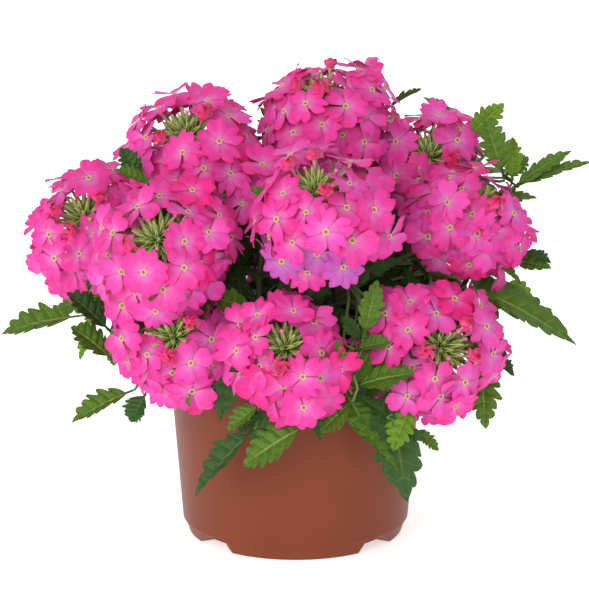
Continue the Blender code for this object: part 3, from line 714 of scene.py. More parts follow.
def pickShade(root, young):  # leaves far out or high up are mid green more often than the inner ones
    if young and dice.random() < toneAndPaintedShade["young"]:
        return "young"
    outer = np.linalg.norm(root[:2]) > toneAndPaintedShade["outside"] or root[2] > toneAndPaintedShade["high"]
    return "mid" if dice.random() < toneAndPaintedShade["mid"][1 if outer else 0] else "dark"


pairShape = {  # how a pair's leaves leave their twig, and the sizes of three tries
    "swing": 0.3, "opening": (45, 75), "sag": 0.1, "upward": 0.6, "sizes": (0.88, 1.12),
    "tries": (1, 0.85, 0.65),
}


def leafPair(owner, path, share, turn, size, young=False):  # two leaves across from each other
    root, tangent = alongPath(path, share)
    swing = pairShape["swing"]
    for partner in (0, math.pi):
        for tries, smaller in enumerate(pairShape["tries"]):
            angle = turn + partner + dice.uniform(-swing, swing) * (1 + tries)
            along = unit(leaning(tangent, angle, dice.uniform(*pairShape["opening"])) - up * pairShape["sag"])
            length = size * dice.uniform(*pairShape["sizes"]) * smaller
            shade = pickShade(root, young)
            if tryLeaf(owner, root, along, tangent + up * pairShape["upward"], length, shade):
                break


# Growing the plant

florets = []      # foot, throat, look, turn, radius and shade of each
calyces = []      # foot, tip, radius, and 1 where a tube leaves it
buds = []         # middle, axis, size
halfOpen = []     # foot, middle, axis, size
twigs = []        # path, first radius, last radius
crown = {  # leaves in mm, places as shares of a path
    "leaf": 37, "shootPairs": 4, "shootSpan": (0.3, 0.68), "tipPair": 0.9, "smallest": 0.4,
    "headPairs": 5, "headSpan": (0.34, 0.58), "headLeaf": 0.95,
    "sideTwigs": 2, "twigPlaces": (0.42, 0.28), "twigReach": (6, 13, 20), "twigOpening": 45,
    "twigPairs": ((0.55, 0.75), (0.97, 0.6)), "twigRadii": (0.8, 0.5),
    "stalkBow": 0.35, "stalkDip": 0.4, "stalkRadii": (0.8, 0.6), "droop": 0.12, "tries": 6,
}


def pairShares(name):  # places of a shoot's leaf pairs, fewer where long leaves are named for it
    marked = sum(leaf[0] == name for leaf in longLeaves)
    pairs = crown["shootPairs"]
    start, span = crown["shootSpan"]
    return [start + span * pair / (pairs - 1) for pair in range(max(1, pairs - marked // 2))]


def growLongLeaves(paths):  # the leaves that stand out in front and at the outline, by their tips
    droop = crown["droop"]
    for name, share, foot, tip, shade, *breadth in longLeaves:
        dice.seed(f"{name}{tip}")
        owner = "shoot" + name
        root, tangent = alongPath(paths["shoot", name], share)
        start = root if foot is None else np.array(foot, float)
        tip = np.array(tip, float)
        span = np.linalg.norm(tip - start)
        along = (tip - start) / span + up * droop
        if foot is not None:
            bow = np.linalg.norm(start - root) * crown["stalkBow"]
            last = start - (along - up * crown["stalkDip"]) * bow
            twigs.append((bezier(root, root + tangent * bow, last, start, 8), *crown["stalkRadii"]))
        steep = abs(along[2]) > 0.8  # such a leaf shows its face to the front, others lie flatter
        upward = np.array([0, -1.0, 0.2] if steep else [0, -0.5, 1.0])
        if not any(tryLeaf(owner, start, along, upward, span, shade, droop, owner + "Leaf", *breadth)
                   for _ in range(crown["tries"])):
            print("no room for the long leaf to", tip)


headShape = {  # lengths in mm, angles in degrees from the head's axis or round it
    "sink": 9, "core": (6.5, 1.2), "coreLift": 3,
    "florets": 38, "radius": 10.9, "sizes": (0.9, 1.07), "inner": 32, "outer": 106, "foot": 4,
    "reach": 26, "steps": (-1, 0.7, 2.2), "pulls": (0, 3, 5.5), "lumps": (1.7, 1.3), "stray": 0.8,
    "lean": 0.55, "wobble": 0.18, "room": 0.85, "calyxShare": 0.46, "calyxRadius": 1.15,
}
halfOpenShape = {  # how many a head has, the angles that they may stand at, and their calyx
    "counts": (1, 2, 2, 3), "places": (95, 232, 301), "swing": 8, "polar": (22, 27), "foot": 9,
    "reach": (24, 1), "lean": 0.3, "sizes": (0.85, 1.1), "calyx": (8.5, 1.1),
}
calyxShape = {  # those without a flower fill the middle of a head, in a spiral from its axis outwards
    "count": 34, "polar": (4, 74), "lift": (13.5, 3), "length": (10.5, 3), "sizes": (0.85, 1.1),
    "radius": (1.05, 0.35), "budded": (0.4, 0.9), "buds": 0.35, "budSizes": (0.85, 1.3), "budGap": 0.6,
}
shadeWeights = {"usual": (6, 4, 0, 0.6), "lilac": (1, 1, 6, 0)}  # of hot, rose, lilac and deep florets


def growHead(name, path):
    dice.seed(name)
    _, look, size = heads[name]
    axis, root = facing(*domes.get(name, (look,))[0]), path[-1]
    side, other = squareTo(axis)
    turn = dice.uniform(0, 2 * math.pi)

    def away(polar, angle):  # the direction at one angle from the axis and another round it
        return axis * math.cos(polar) + (side * math.cos(angle) + other * math.sin(angle)) * math.sin(polar)

    growHalfOpen(root, axis, away, turn, size)
    growFlorets(name, root, axis, away, turn, size)
    growCalyces(root, axis, away, turn, size)


def growHalfOpen(root, axis, away, turn, size):
    h = halfOpenShape
    for spot in dice.sample(h["places"], dice.choice(h["counts"])):
        angle = turn + math.radians(spot + dice.uniform(-h["swing"], h["swing"]))
        out = away(math.radians(dice.uniform(*h["polar"])), angle)
        foot = root + out * h["foot"]
        reach = h["reach"][0] * size + h["reach"][1]
        halfOpen.append({"foot": foot, "middle": root + out * reach, "axis": unit(out + axis * h["lean"]),
                         "size": dice.uniform(*h["sizes"])})
        length, radius = h["calyx"]
        calyces.append({"foot": foot, "tip": foot + out * length, "radius": radius, "open": 1})


def growFlorets(name, root, axis, away, turn, size):
    # A spiral by the golden angle, even over the dome. A floret that has no room is pulled in, or left out.
    h = headShape
    owner = "bloom" + name
    first, last = math.cos(math.radians(h["inner"])), math.cos(math.radians(h["outer"]))
    two, three = h["lumps"]
    for i in range(h["florets"]):
        polar = math.acos(first + (last - first) * (i + 0.5) / h["florets"])
        angle = turn + i * goldenAngle
        out = away(polar, angle)
        wobble = np.array([dice.gauss(0, h["wobble"]) for _ in range(3)])
        look = unit(out + axis * h["lean"] + wobble)
        foot = root + out * h["foot"] + axis * (1 - polar / 2) * h["foot"]
        radius = h["radius"] * dice.uniform(*h["sizes"])
        lump = (two * math.sin(2 * angle + turn) + three * math.sin(3 * angle + 4 * turn)) * math.sin(polar)
        stray = lump + dice.gauss(0, h["stray"])
        for pull in h["pulls"]:
            throat = root + out * (h["reach"] * size + h["steps"][i % 3] - pull + stray)
            proxy = coarseFloret(foot, throat, look, angle, radius * h["room"])
            if hasRoom([owner], *proxy):
                place(owner, *proxy)
                low = name == "front" and out[2] < -0.3  # this head's lowest florets are mostly lilac
                shade = dice.choices(list(petalTones), shadeWeights["lilac" if low else "usual"])[0]
                florets.append({"foot": foot, "throat": throat, "look": look, "turn": dice.uniform(*anyTurn),
                                "radius": radius, "shade": shade})
                tip = foot + (throat - foot) * h["calyxShare"]
                calyces.append({"foot": foot, "tip": tip, "radius": h["calyxRadius"], "open": 1})
                break


def growCalyces(root, axis, away, turn, size):
    h = calyxShape
    low, high = h["budded"]
    for i in range(h["count"]):
        share = math.sqrt((i + 0.3) / h["count"])
        polar = math.radians(h["polar"][0] + h["polar"][1] * share)
        out = unit(away(polar, turn + 1 + i * goldenAngle))
        foot = root + axis * (h["lift"][0] - h["lift"][1] * share) * size
        length = (h["length"][0] + h["length"][1] * share) * dice.uniform(*h["sizes"])
        tip = foot + out * length
        radius = h["radius"][0] + h["radius"][1] * share
        calyces.append({"foot": foot, "tip": tip, "radius": radius, "open": 0})
        if low < share < high and dice.random() < h["buds"]:
            middle = tip + out * h["budGap"]
            buds.append({"middle": middle, "axis": out, "size": dice.uniform(*h["budSizes"])})


def placePacked():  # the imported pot, soil and foot, as they are
    for name in ("pot", "soil", "stem_base"):
        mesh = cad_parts[name].data
        points = np.zeros(len(mesh.vertices) * 3, np.float32)
        mesh.vertices.foreach_get("co", points)
        place(name, points.reshape(-1, 3) / mm, [list(p.vertices) for p in mesh.polygons])


def growStems(paths):
    for (kind, name), path in paths.items():
        trunk = kind == "head" or shoots[name][0] is None
        place(("bloom" if kind == "head" else "shoot") + name, *coarseTube(path, coarse["stem"]))
        if kind == "shoot":  # it ends at its last leaf
            last = max([pairShares(name)[-1]] + [leaf[1] for leaf in longLeaves if leaf[0] == name])
            path = path[:math.ceil(last * (len(path) - 1)) + 1]
        twigs.append((path, stems["radius" if trunk else "shootRadius"],
                      stems["tipRadius" if kind == "head" else "shootTipRadius"]))


def growSideTwigs(name, path, turn):  # each takes the first quarter turn that has room
    start, step = crown["twigPlaces"]
    near, middle, far = crown["twigReach"]
    for k in range(crown["sideTwigs"]):
        root, tangent = alongPath(path, start + step * k)
        for quarter in range(4):
            along = leaning(tangent, turn + (quarter + 0.5 + k) * math.pi / 2, crown["twigOpening"])
            handle, end = root + along * middle + up, root + along * far + up * 2
            twig = bezier(root, root + along * near, handle, end, 6)
            proxy = coarseTube(twig, coarse["twig"])
            if hasRoom([name], *proxy):
                place(name, *proxy)
                twigs.append((twig, *crown["twigRadii"]))
                (first, size), (last, tipSize) = crown["twigPairs"]
                leafPair(name, twig, first, turn, crown["leaf"] * size)
                leafPair(name, twig, last, turn + math.pi / 2, crown["leaf"] * tipSize, True)
                break


def growShootLeaves(paths):
    for name in shoots:
        dice.seed(name)
        owner = "shoot" + name
        path, turn = paths["shoot", name], dice.uniform(0, math.pi)
        shares = pairShares(name)
        for pair, share in enumerate(shares):
            size = crown["leaf"] * (1 - crown["smallest"] * pair / crown["shootPairs"])
            leafPair(owner, path, share, turn + pair * math.pi / 2, size, share > crown["tipPair"])
        if len(shares) > 2:
            growSideTwigs(owner, path, turn)


def growHeadLeaves(paths):
    pairs = crown["headPairs"]
    start, span = crown["headSpan"]
    for name in heads:
        dice.seed(name + " leaves")
        path, turn = paths["head", name], dice.uniform(0, math.pi)
        for pair in range(pairs):
            share = start + span * pair / (pairs - 1)
            size = crown["leaf"] * crown["headLeaf"]
            leafPair("bloom" + name, path, share, turn + pair * math.pi / 2, size)


def growPlant():
    paths = layStems()
    placePacked()
    growStems(paths)
    for name, (_, look, _) in heads.items():
        middle = paths["head", name][-1] + facing(*look) * headShape["coreLift"]
        place("bloom" + name, *coarseBall(middle, *headShape["core"]))
    growLongLeaves(paths)
    for name in heads:
        growHead(name, paths["head", name])
    growShootLeaves(paths)
    growHeadLeaves(paths)
    print(f"{len(florets)} florets, {sum(map(len, leaves.values()))} leaves, {len(calyces)} calyces")


# Blossom

petalShape = {  # rows run along a petal and cols across it; under lists the columns of its underside
    "rows": (0, 0.3, 0.58, 0.82, 1.0), "cols": (-1, -0.8, -0.5, -0.2, 0, 0.2, 0.5, 0.8, 1),
    "under": (2, 4, 6), "throat": 1.1, "foot": 0.8, "lift": 0.7, "ruffle": 0.55, "crease": (0.5, 0.3),
    "corners": 0.3, "notchWidth": 0.22, "wavyRim": 0.04, "rimWaves": 5.5, "ruffleWaves": 4.2,
    "widest": 0.86, "swell": 1.15, "drawnIn": 0.08, "thick": 0.16,
}
petalWays = {  # how petals differ, lengths and widths of open ones as shares of the floret's radius
    "open": {"length": (even, 0.94, 1.08), "tilt": (bell, 0.04, 0.16), "twist": (bell, 0.12, 0.17),
             "notch": (even, 0.1, 0.26), "bend": (even, -0.3, 1.1), "curl": (bell, -0.2, 0.26),
             "cup": (even, -1, 0.1), "phase": (even, *anyTurn)},
    "opening": {"length": (even, 7.8, 9.0), "width": (even, 3.2, 3.8), "tilt": (bell, 0.1, 0.1),
                "twist": (bell, 0.4, 0.15), "notch": (even, 0.0, 0.2), "bend": (even, -0.3, 0.5),
                "curl": (even, 1.9, 2.9), "cup": (even, 1.8, 2.4), "phase": (even, *anyTurn)},
}
floretSpread = {"breadth": (0.39, 0.49), "petalBreadth": (-0.02, 0.02), "turn": 0.09}
petalTones = {  # throat, middle, edge and rim colours of each shade
    "hot": ((0.83, 0.16, 0.48), (0.84, 0.055, 0.35), (0.86, 0.034, 0.30), (0.88, 0.018, 0.23)),
    "rose": ((0.81, 0.18, 0.52), (0.82, 0.075, 0.42), (0.84, 0.050, 0.36), (0.87, 0.027, 0.28)),
    "lilac": ((0.56, 0.17, 0.46), (0.50, 0.095, 0.44), (0.53, 0.07, 0.40), (0.60, 0.04, 0.35)),
    "deep": ((0.90, 0.10, 0.39), (0.92, 0.023, 0.26), (0.93, 0.015, 0.21), (0.93, 0.009, 0.15)),
}
openingTones = ((0.80, 0.20, 0.42), (0.84, 0.11, 0.32), (0.84, 0.025, 0.15), (0.80, 0.0, 0.06))


def petalPoints(origin, out, axis, length, width, tilt, twist, notch, bend, curl, cup, phase):
    # Along the petal v runs from the throat to the rim and u across it. The rim's distance falls off to the
    # corners and dips in a notch, so that it has two lobes; the half-width swells from a narrow foot, and
    # the height is an arc of the given curl with a crease down the middle and a ruffled rim.
    p = petalShape
    v = np.array(p["rows"])[None, :, None]
    u = np.array(p["cols"])[None, None, :]
    length, width, notch, bend, curl, cup, phase = (
        np.asarray(a)[:, None, None] for a in (length, width, notch, bend, curl + 1e-4, cup, phase))
    rim = 1 - p["corners"] * u ** 4 - notch * np.exp(-(u / p["notchWidth"]) ** 2)
    rim = rim + p["wavyRim"] * np.sin(p["rimWaves"] * u + phase)
    a = p["throat"] + (length * rim - p["throat"]) * v
    swell = np.sin(np.clip(v / p["widest"], 0, 1) * math.pi / 2) ** p["swell"]
    half = p["foot"] + (width - p["foot"]) * swell * (1 - p["drawnIn"] * smoothStep(v, 0.8, 1))
    b = u * half
    depth, reach = p["crease"]
    h = p["lift"] * v - bend * v ** 2 - depth * np.exp(-(u / reach) ** 2) * (1 - v) * v * 2
    h = h + cup * u ** 2 * v + p["ruffle"] * np.sin(p["ruffleWaves"] * u + phase * 2) * v ** 2
    bow = length / curl
    arc = curl * a / length
    a, h = bow * np.sin(arc) - h * np.sin(arc), bow * (1 - np.cos(arc)) + h * np.cos(arc)
    across = np.cross(axis, out)
    ct, st = np.cos(tilt)[:, None], np.sin(tilt)[:, None]
    out, axis = out * ct + axis * st, axis * ct - out * st
    cw, sw = np.cos(twist)[:, None], np.sin(twist)[:, None]
    across, axis = across * cw + axis * sw, axis * cw - across * sw
    origin, out, across, axis = (d[:, None, None] for d in (origin, out, across, axis))
    return origin + out * a[..., None] + across * b[..., None] + axis * h[..., None], axis


def makePetals(name, origin, out, axis, finish, nodes, **shape):
    top, normal = petalPoints(origin, out, axis, **shape)
    keep = list(petalShape["under"])
    points, faces = thinBodies(top, (top - normal * petalShape["thick"])[:, :, keep], keep)
    v, u = np.meshgrid(petalShape["rows"], np.array(petalShape["cols"]) * mapHalf + mapMiddle, indexing="ij")
    uv = np.stack([u, v * 0.48 + 0.01], -1)
    uv = np.concatenate([uv.reshape(-1, 2), uv[1:-1, keep].reshape(-1, 2)])
    return addPiece(name, points, faces, finish, nodes, np.tile(uv, (len(top), 1)), sharp=75)


def fivePetals(turn, size):  # five directions round each flower, and its size for each of them
    return np.repeat(turn, 5) + np.tile(turns(5), len(turn)), np.repeat(size, 5)


def spokes(axis, turn):  # a direction square to each axis, turned round it
    return around(*squareTo(axis), turn)


def drawn(ways, n):  # random numbers for n petals in each way, drawn in the order of the ways
    return {key: draw(first, second, n) for key, (draw, first, second) in ways.items()}


def makeFlorets(nodes):
    for shade, tones in petalTones.items():
        members = [floret for floret in florets if floret["shade"] == shade]
        throat, axis = (np.repeat(part, 5, 0) for part in columns(members, "throat", "look"))
        turn, radius = fivePetals(*columns(members, "turn", "radius"))
        n = len(throat)
        turn = turn + rng.normal(0, floretSpread["turn"], n)
        breadth = np.repeat(rng.uniform(*floretSpread["breadth"], len(members)), 5)
        breadth = breadth + rng.uniform(*floretSpread["petalBreadth"], n)
        shape = drawn(petalWays["open"], n)
        shape.update(length=radius * shape["length"], width=radius * breadth)
        title = shade.capitalize()
        finish = petalFinish("petal" + title, *tones)
        makePetals("petals" + title, throat, spokes(axis, turn), axis, finish, nodes, **shape)


def ringBodies(middle, axis, size, profile, sides, lobes=0.0, turn=None):
    # Turned shapes on many axes at once: profile is a list of (radius, height), times each body's size.
    side, other = squareTo(axis)
    a = turns(sides)[None] + (0 if turn is None else turn[:, None])
    radius, height = np.array(profile).T
    lobed = 1 + lobes * np.cos(5 * (a - a[:, :1]))
    rim = around(side[:, None], other[:, None], a)
    shape = (rim[:, None] * (radius[None, :, None] * lobed[:, None])[..., None]
             + axis[:, None, None] * height[None, :, None, None])
    return shape * size + middle[:, None, None]


eye = {  # the cream rim and the olive throat in it: rings as (radius, height), and how five-lobed
    "rim": ([(1.5, 0.1), (1.36, 0.4), (1.1, 0.44), (0.9, 0.2), (0.82, -0.5)], 0.06),
    "throat": ([(0.94, 0.2), (0.55, -0.02), (0.33, 0.1)], 0.1), "sides": 10,
}


def eyeWalls(part):  # points and walls of that part of every floret
    rings, lobes = eye[part]
    throat, axis, turn, radius = columns(florets, "throat", "look", "turn", "radius")
    size = radius[:, None, None, None] / headShape["radius"]
    points = ringBodies(throat, axis, size, rings, eye["sides"], lobes, turn)
    walls = turnedFaces(len(rings), eye["sides"])[:, ::-1]
    return points, repeated(walls, len(florets), len(rings) * eye["sides"])


def makeEyes(nodes):
    points, walls = eyeWalls("rim")
    addPiece("eyes", points, [walls], plainFinish("eyeCream", (0.79, 0.44, 0.30), 0.55), nodes)
    points, walls = eyeWalls("throat")
    total = len(eye["throat"][0]) * eye["sides"]
    cap = repeated(np.arange(total - eye["sides"], total)[None], len(florets), total)
    addPiece("throats", points, [walls, cap], plainFinish("throatOlive", (0.30, 0.25, 0.09), 0.7))


def tubeBodies(path, radius, sides, section=0.0, ribs=0):
    # Many tubes at once: path (n, steps, 3) and radius (n, steps); ribs waves round the section.
    # The first side is carried along without turning.
    tangent = unit(np.gradient(path, axis=1))
    side, _ = squareTo(tangent[:, 0])
    rows = []
    for k in range(path.shape[1]):
        side = unit(side - tangent[:, k] * (side * tangent[:, k]).sum(-1, keepdims=True))
        rows.append(side)
    side = np.stack(rows, 1)
    other = np.cross(tangent, side)
    a = turns(sides)
    wave = 1 + section * np.cos(ribs * a)
    rim = around(side[:, :, None], other[:, :, None], a)
    points = path[:, :, None] + rim * (radius[:, :, None] * wave)[..., None]
    n, steps = path.shape[:2]
    x, y = np.meshgrid(np.arange(sides) / sides * 0.5, np.linspace(0, 0.5, steps))
    uv = np.tile(np.stack([x, y], -1).reshape(-1, 2), (n, 1))
    return points, closedFaces(steps, sides, n), uv


def bentLines(start, end, bow, steps):  # lines whose middles stray by a random bow, a parabola along the line
    t = np.linspace(0, 1, steps)[None, :, None]
    sag = rng.normal(0, bow, start.shape)
    return start[:, None] + (end - start)[:, None] * t + sag[:, None] * (4 * t * (1 - t))


tubeShape = {  # where a tube starts on its way up, how deep it ends, its straight neck, its bow and radii
    "start": 0.4, "sides": 7, "sunk": 0.4, "neck": 2.4, "openingLift": 0.5,
    "open": (0.5, (0.62, 0.6, 0.62, 0.72, 1.15)), "opening": (0.4, (0.6, 0.58, 0.6, 0.75, 1.0)),
}


def bentTubes(foot, top, kind, neck=None):  # to each top, by way of its neck where one is given
    bow, radii = tubeShape[kind]
    path = bentLines(foot + (top - foot) * tubeShape["start"], top, bow, len(radii))
    if neck is not None:
        path[:, 3] = neck
    return tubeBodies(path, np.tile(radii, (len(foot), 1)), tubeShape["sides"])[:2]


def makeTubes(nodes):
    foot, throat, look = columns(florets, "foot", "throat", "look")
    top = throat - look * tubeShape["sunk"]
    points, faces = bentTubes(foot, top, "open", top - look * tubeShape["neck"])
    finish = plainFinish("tubeBeige", (0.64, 0.46, 0.38), 0.6)
    addPiece("flowerTubes", points, faces, finish, nodes)


calyxForm = {  # radii from foot to tip, with and without a tube in it
    "opened": (0.5, 0.85, 0.95, 0.9, 0.85, 0.9), "closed": (0.5, 0.85, 1.05, 1.05, 0.8, 0.2),
    "ribs": 5, "ribHeight": 0.17, "sides": 10, "bow": 0.35, "teeth": 1.1,
}


def makeCalyces(nodes):
    form = calyxForm
    foot, tip, radius, isOpen = columns(calyces, "foot", "tip", "radius", "open")
    path = bentLines(foot, tip, form["bow"], len(form["opened"]))
    profile = np.where(isOpen[:, None] > 0, form["opened"], form["closed"]) * radius[:, None]
    points, faces, uv = tubeBodies(path, profile, form["sides"], form["ribHeight"], form["ribs"])
    points[:, -1, ::2] += unit(tip - foot)[:, None] * form["teeth"]  # the ribs end in short teeth
    # Groove, rib and tip colours: the dark groove is partly painted shade, and the light rib partly painted
    # highlight.
    tones = (0.06, 0.10, 0.02), (0.68, 0.87, 0.22), (0.50, 0.56, 0.20)
    finish = ribbedFinish("calyxGreen", form["ribs"], *tones)
    addPiece("calyces", points, faces, finish, nodes, uv)


budRings = [(0.25, -1.1), (0.8, -0.6), (1.0, 0.1), (0.75, 0.75), (0.2, 1.05)]  # radius and height


def makeBuds(nodes):
    middle, axis, size = columns(buds, "middle", "axis", "size")
    points = ringBodies(middle, axis, size[:, None, None, None], budRings, 8)
    finish = plainFinish("budPink", (0.80, 0.22, 0.35), 0.5)
    addPiece("buds", points, closedFaces(len(budRings), 8, len(buds)), finish, nodes)


def makeHalfOpen(nodes):
    # Flowers about to open: five short petals curled over each other, red at the rim, on a tube.
    foot, middle, look, size = columns(halfOpen, "foot", "middle", "axis", "size")
    turn, scale = fivePetals(rng.uniform(0, 6, len(size)), size)
    axis = np.repeat(look, 5, 0)
    shape = drawn(petalWays["opening"], len(turn))
    shape.update(length=scale * shape["length"], width=scale * shape["width"])
    finish = petalFinish("petalOpening", *openingTones)
    makePetals("petalsOpening", np.repeat(middle, 5, 0), spokes(axis, turn), axis, finish, nodes, **shape)
    points, faces = bentTubes(foot, middle + look * tubeShape["openingLift"], "opening")
    addPiece("openingTubes", points, faces, plainFinish("openingTube", (0.58, 0.34, 0.30), 0.6))


# Foliage and stems

# The dark green is partly the leaves' own tone and partly painted shade: it goes on inner, low and tucked-in
# leaves.
leafTones = {  # finish, and the colours of the blade, its lighter patches and the veins
    "dark": ("leafDarkAndShaded", (0.018, 0.052, 0.010), (0.034, 0.090, 0.015), (0.14, 0.22, 0.05)),
    "mid": ("leafGreen", (0.048, 0.115, 0.008), (0.082, 0.175, 0.013), (0.32, 0.43, 0.09)),
    "young": ("leafYoung", (0.085, 0.190, 0.010), (0.145, 0.275, 0.016), (0.40, 0.52, 0.12)),
}


def makeLeaves(nodes):
    finishes = {shade: leafFinish(*tones) for shade, tones in leafTones.items()}
    for (kind, shade), members in leaves.items():
        outline, across = leafOutlines[kind], np.array(leafKinds[kind][2], float)
        leaf = dict(zip(leafFields, columns(members, *leafFields)))
        top = leafPoints(leaf, *outline, across)
        middle = len(across) // 2
        under = (top - unit(leaf["upward"])[:, None, None] * leafShape["thick"])[:, :, middle:middle + 1]
        points, faces = thinBodies(top, under, [middle])
        passed = (outline[3] + 1) * leafShape["mapTooth"]
        v, u = np.meshgrid(passed, across * mapHalf + mapMiddle, indexing="ij")
        uv = np.stack([u, v], -1)
        uv = np.tile(np.concatenate([uv.reshape(-1, 2), uv[1:-1, middle]]), (len(members), 1))
        name = ("leaves" if kind == "plain" else "longLeaves") + shade.capitalize()
        addPiece(name, points, faces, finishes[shade], nodes, uv, sharp=75)


stemLook = {  # section, how soon a stem thins, and colours from its foot up as shares of the map's height
    "sides": 8, "ribs": 4, "ribHeight": 0.09, "thinning": 0.8,
    "tones": [(0.0, (0.13, 0.10, 0.05)), (0.15, (0.11, 0.15, 0.045)), (0.5, (0.15, 0.22, 0.06))],
}


def makeStems(nodes):
    # Four-ribbed tubes along every stem, shoot, twig and stalk, thinning towards their ends.
    look = stemLook
    points, quads, caps, uvs, count = [], [], [], [], 0
    for path, first, last in twigs:
        radius = first + (last - first) * np.linspace(0, 1, len(path)) ** look["thinning"]
        tube, (walls, *ends), uv = tubeBodies(path[None], radius[None], look["sides"], look["ribHeight"],
                                              look["ribs"])
        points.append(tube.reshape(-1, 3))
        quads.append(walls + count)
        caps += [end + count for end in ends]
        uvs.append(uv)
        count += tube.size // 3
    mat = plainFinish("stemGreen", (0.10, 0.16, 0.045), 0.55)
    n = Nodes(mat)
    n.feed(n.shader, Base_Color=n.ramp(n.placeOnPiece()[1], look["tones"]))
    faces = [np.concatenate(quads), np.concatenate(caps)]
    addPiece("stems", np.concatenate(points), faces, mat, nodes, np.concatenate(uvs))


base = {  # the woody foot: its outline and the waves of its bark, as (height, waves round, twist, phase)
    "radius": 11, "topRadius": 8, "height": 16, "sides": 60, "rings": 26,
    "flare": (3, 1.4), "shoulder": (0.75, 0.6), "rounding": 0.72, "caps": (0.5, 0.06),
    "bark": ((0.35, 9, 3, 0), (0.25, 17, -9, 1), (0.15, 31, 23, 0)),
}


def makeBase(nodes):
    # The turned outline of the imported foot, with ridges of bark that wander upwards.
    sides, tall = base["sides"], base["height"]
    low = soil["top"] + soil["crown"] + soil["gap"]
    t = np.linspace(0, 1, base["rings"])[:, None]
    a = turns(sides)
    (flareTop, flare), (shoulderPlace, shoulder) = base["flare"], base["shoulder"]
    heights = (0, flareTop, tall * shoulderPlace, tall)
    radii = (base["radius"], base["radius"] - flare, base["topRadius"] + shoulder,
             base["topRadius"] * base["rounding"])
    radius = np.interp(t * tall, heights, radii)
    bark = sum(height * np.sin(waves * a + twist * t + phase) for height, waves, twist, phase in base["bark"])
    radius = radius + bark * (1 - 0.5 * t)
    wall = onRings(radius, low + t * tall, sides)
    inward = [np.array([share, share, 1]) for share in base["caps"]]
    cap = np.stack([wall[-1] * share for share in inward])
    floor = np.stack([wall[0] * share for share in inward[::-1]])
    points = np.concatenate([floor, wall, cap])
    finish = speckledFinish("bark", (0.07, 0.045, 0.025), (0.20, 0.14, 0.075), 0.85, 420)
    addPiece("woodyBase", points, closedFaces(len(points), sides), finish, nodes)


# Pot and soil

pot = {  # its real sizes in mm; a notch's lower and upper edge as angles from the front or back
    "height": 97, "footHeight": 6.5, "footRadius": 50.2, "footTopRadius": 51.9, "footRound": 1.4,
    "wallRadius": 52.8, "wallTopRadius": 58.8, "wallBottom": 6.9, "wallTop": 82,
    "rimRadius": 60.6, "rimTopRadius": 61.4, "lipRound": 0.8,
    "wall": 1.3, "floor": 2.2, "channelRadius": 40.5, "channelFloor": 8.2, "middle": 4,
    "notchRadius": 42.5, "notchBottom": (34.5, 64), "notchTop": (39, 51), "sides": 144,
}


def potOutline():  # (radius, height) from the middle of the underside, over the rim, to the floor inside
    p = pot
    lip = p["lipRound"]
    slope = (p["wallTopRadius"] - p["wallRadius"]) / (p["wallTop"] - p["wallBottom"])
    outline = [(p["middle"], 0)]
    outline += [(p["footRadius"] - p["footRound"] * (1 - math.sin(t)), p["footRound"] * (1 - math.cos(t)))
                for t in np.linspace(0, math.pi / 2, 6)]
    outline += [
        (p["footTopRadius"], p["footHeight"] - 0.2), (p["footTopRadius"] + 0.25, p["footHeight"]),
        (p["wallRadius"] - 0.3, p["footHeight"] + 0.15), (p["wallRadius"], p["footHeight"] + 0.5)]
    outline += [(p["wallRadius"] + slope * (z - p["wallBottom"]), z) for z in (20, 40, 60, 78)]
    outline += [
        (p["wallTopRadius"], p["wallTop"] - 0.25), (p["wallTopRadius"] + 0.35, p["wallTop"]),
        (p["rimRadius"] - 0.4, p["wallTop"] + 0.35), (p["rimRadius"], p["wallTop"] + 0.9)]
    outline += [(p["rimTopRadius"] - lip + lip * math.cos(t), p["height"] - lip + lip * math.sin(t))
                for t in np.linspace(0, math.pi, 9)]
    return outline + [
        (p["wallTopRadius"] - p["wall"], p["wallTop"] - 2), (p["wallRadius"] - p["wall"], p["channelFloor"]),
        (p["channelRadius"], p["channelFloor"]), (p["channelRadius"] - 1.5, p["floor"]),
        (p["middle"], p["floor"])]


def notchCutter(mirrorX, mirrorY):  # a wedge through the foot band, narrower at its top
    inner, outer = pot["notchRadius"], pot["wallRadius"] + 6
    corners = []
    for height, (first, last) in ((-1, pot["notchBottom"]), (pot["footHeight"], pot["notchTop"])):
        for angle, radius in ((first, inner), (last, inner), (last, outer), (first, outer)):
            turn = math.radians(angle)
            corners.append((mirrorX * radius * math.sin(turn) * mm,
                            -mirrorY * radius * math.cos(turn) * mm, height * mm))
    faces = [(0, 1, 2, 3), (7, 6, 5, 4), (0, 4, 5, 1), (1, 5, 6, 2), (2, 6, 7, 3), (3, 7, 4, 0)]
    if mirrorX * mirrorY < 0:
        faces = [face[::-1] for face in faces]
    mesh = bpy.data.meshes.new("notch")
    mesh.from_pydata(corners, [], faces)
    return linked("notch", mesh)


def makePot():
    # The outline turned round the axis, with four drain notches cut out of the foot band.
    radius, height = np.array(potOutline()).T[..., None]
    points = onRings(radius, height, pot["sides"])
    faces = closedFaces(len(points), pot["sides"])
    piece = addPiece("potShell", points, faces, potFinish(), ["pot"], sharp=28)
    cutters = [notchCutter(mirrorX, mirrorY) for mirrorX in (1, -1) for mirrorY in (1, -1)]
    for cutter in cutters:
        cut = piece.modifiers.new("notch", "BOOLEAN")
        cut.object, cut.operation, cut.solver = cutter, "DIFFERENCE", "EXACT"
    graph = bpy.context.evaluated_depsgraph_get()
    mesh = bpy.data.meshes.new_from_object(piece.evaluated_get(graph))
    piece.modifiers.clear()
    piece.data = mesh
    for cutter in cutters:
        bpy.data.objects.remove(cutter)


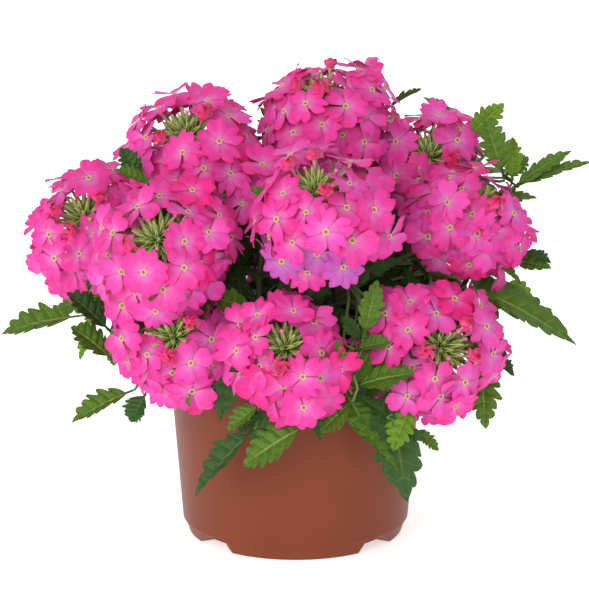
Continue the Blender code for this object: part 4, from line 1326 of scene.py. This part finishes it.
soil = {  # lengths in mm: the surface, its waves, and the sides and underside as (radius, height)
    "top": 87, "crown": 1.5, "gap": 0.3, "radius": 57.2, "edge": (52, 57), "sunk": 0.2,
    "sides": 96, "rings": 22, "innermost": 0.04, "lumps": 14, "lumpHeight": 0.16, "lumpWaves": 0.9,
    "below": ((10, 3), (38.2, 3), (39.8, 8.8), (51, 8.8), (57.0, 80)),
}
crumb = {  # how many, how far out, how high they lie, how big and uneven, and rings as (radius, height)
    "count": 420, "reach": 55, "shares": (0.04, 0.93), "lift": 1.4, "fall": 2500, "sizes": (0.5, 1.5),
    "uneven": (0.7, 1.2), "sides": 6,
    "rings": [(0.2, -1), (0.85, -0.55), (1.0, 0.2), (0.65, 0.75), (0.15, 1)],
}


def makeSoil():
    # A disc of lumpy compost, a sum of waves high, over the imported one's sides, and loose crumbs on it.
    sides, outer, waves = soil["sides"], soil["radius"], soil["lumpWaves"]
    a = turns(sides)
    r = np.linspace(1, soil["innermost"], soil["rings"])[:, None] * outer
    lumps = 0
    for _ in range(soil["lumps"]):
        kx, ky, phase = rng.uniform(-waves, waves), rng.uniform(-waves, waves), rng.uniform(*anyTurn)
        lumps = lumps + soil["lumpHeight"] * np.sin(kx * r * np.cos(a) + ky * r * np.sin(a) + phase)
    lumps = lumps * (1 - smoothStep(r, *soil["edge"]))
    z = soil["top"] + soil["crown"] * (1 - (r / outer) ** 2) + lumps - soil["sunk"]
    radius, height = np.array(soil["below"]).T[..., None]
    points = np.concatenate([onRings(radius, height, sides), onRings(r, z, sides)])
    finish = speckledFinish("compost", (0.012, 0.008, 0.005), (0.06, 0.036, 0.02), 0.95, 260, 0.8, 0.0012)
    addPiece("compost", points, closedFaces(len(points), sides), finish, ["soil"])
    n, sides, rings = crumb["count"], crumb["sides"], crumb["rings"]
    reach = np.sqrt(rng.uniform(*crumb["shares"], n)) * crumb["reach"]
    turn = rng.uniform(*anyTurn, n)
    height = soil["top"] + crumb["lift"] - reach ** 2 / crumb["fall"]
    middle = np.stack([reach * np.cos(turn), reach * np.sin(turn), height], -1)
    axis = unit(rng.normal(0, 1, (n, 3)))
    size = rng.uniform(*crumb["sizes"], n)[:, None, None, None]
    size = size * rng.uniform(*crumb["uneven"], (n, len(rings), sides, 1))
    points = ringBodies(middle, axis, size, rings, sides)
    addPiece("crumbs", points, closedFaces(len(rings), sides, n), finish)


makeCamera()
makeStudio()
print("camera and studio ready")
makePot()
makeSoil()
print("pot and soil ready")
growPlant()
names = sorted(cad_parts)
blooms = [n for n in names if n.startswith("bloom_")]
leafy = [n for n in names if n.startswith("shoot_")]
makeFlorets(blooms)
makeEyes(blooms)
makeTubes(blooms)
makeCalyces(blooms)
makeBuds(blooms)
makeHalfOpen(blooms)
print("blossom ready")
makeLeaves(leafy)
makeStems([n for n in names if n.startswith("stem_") and n != "stem_base"])
makeBase(["stem_base"])
print("foliage and stems ready")
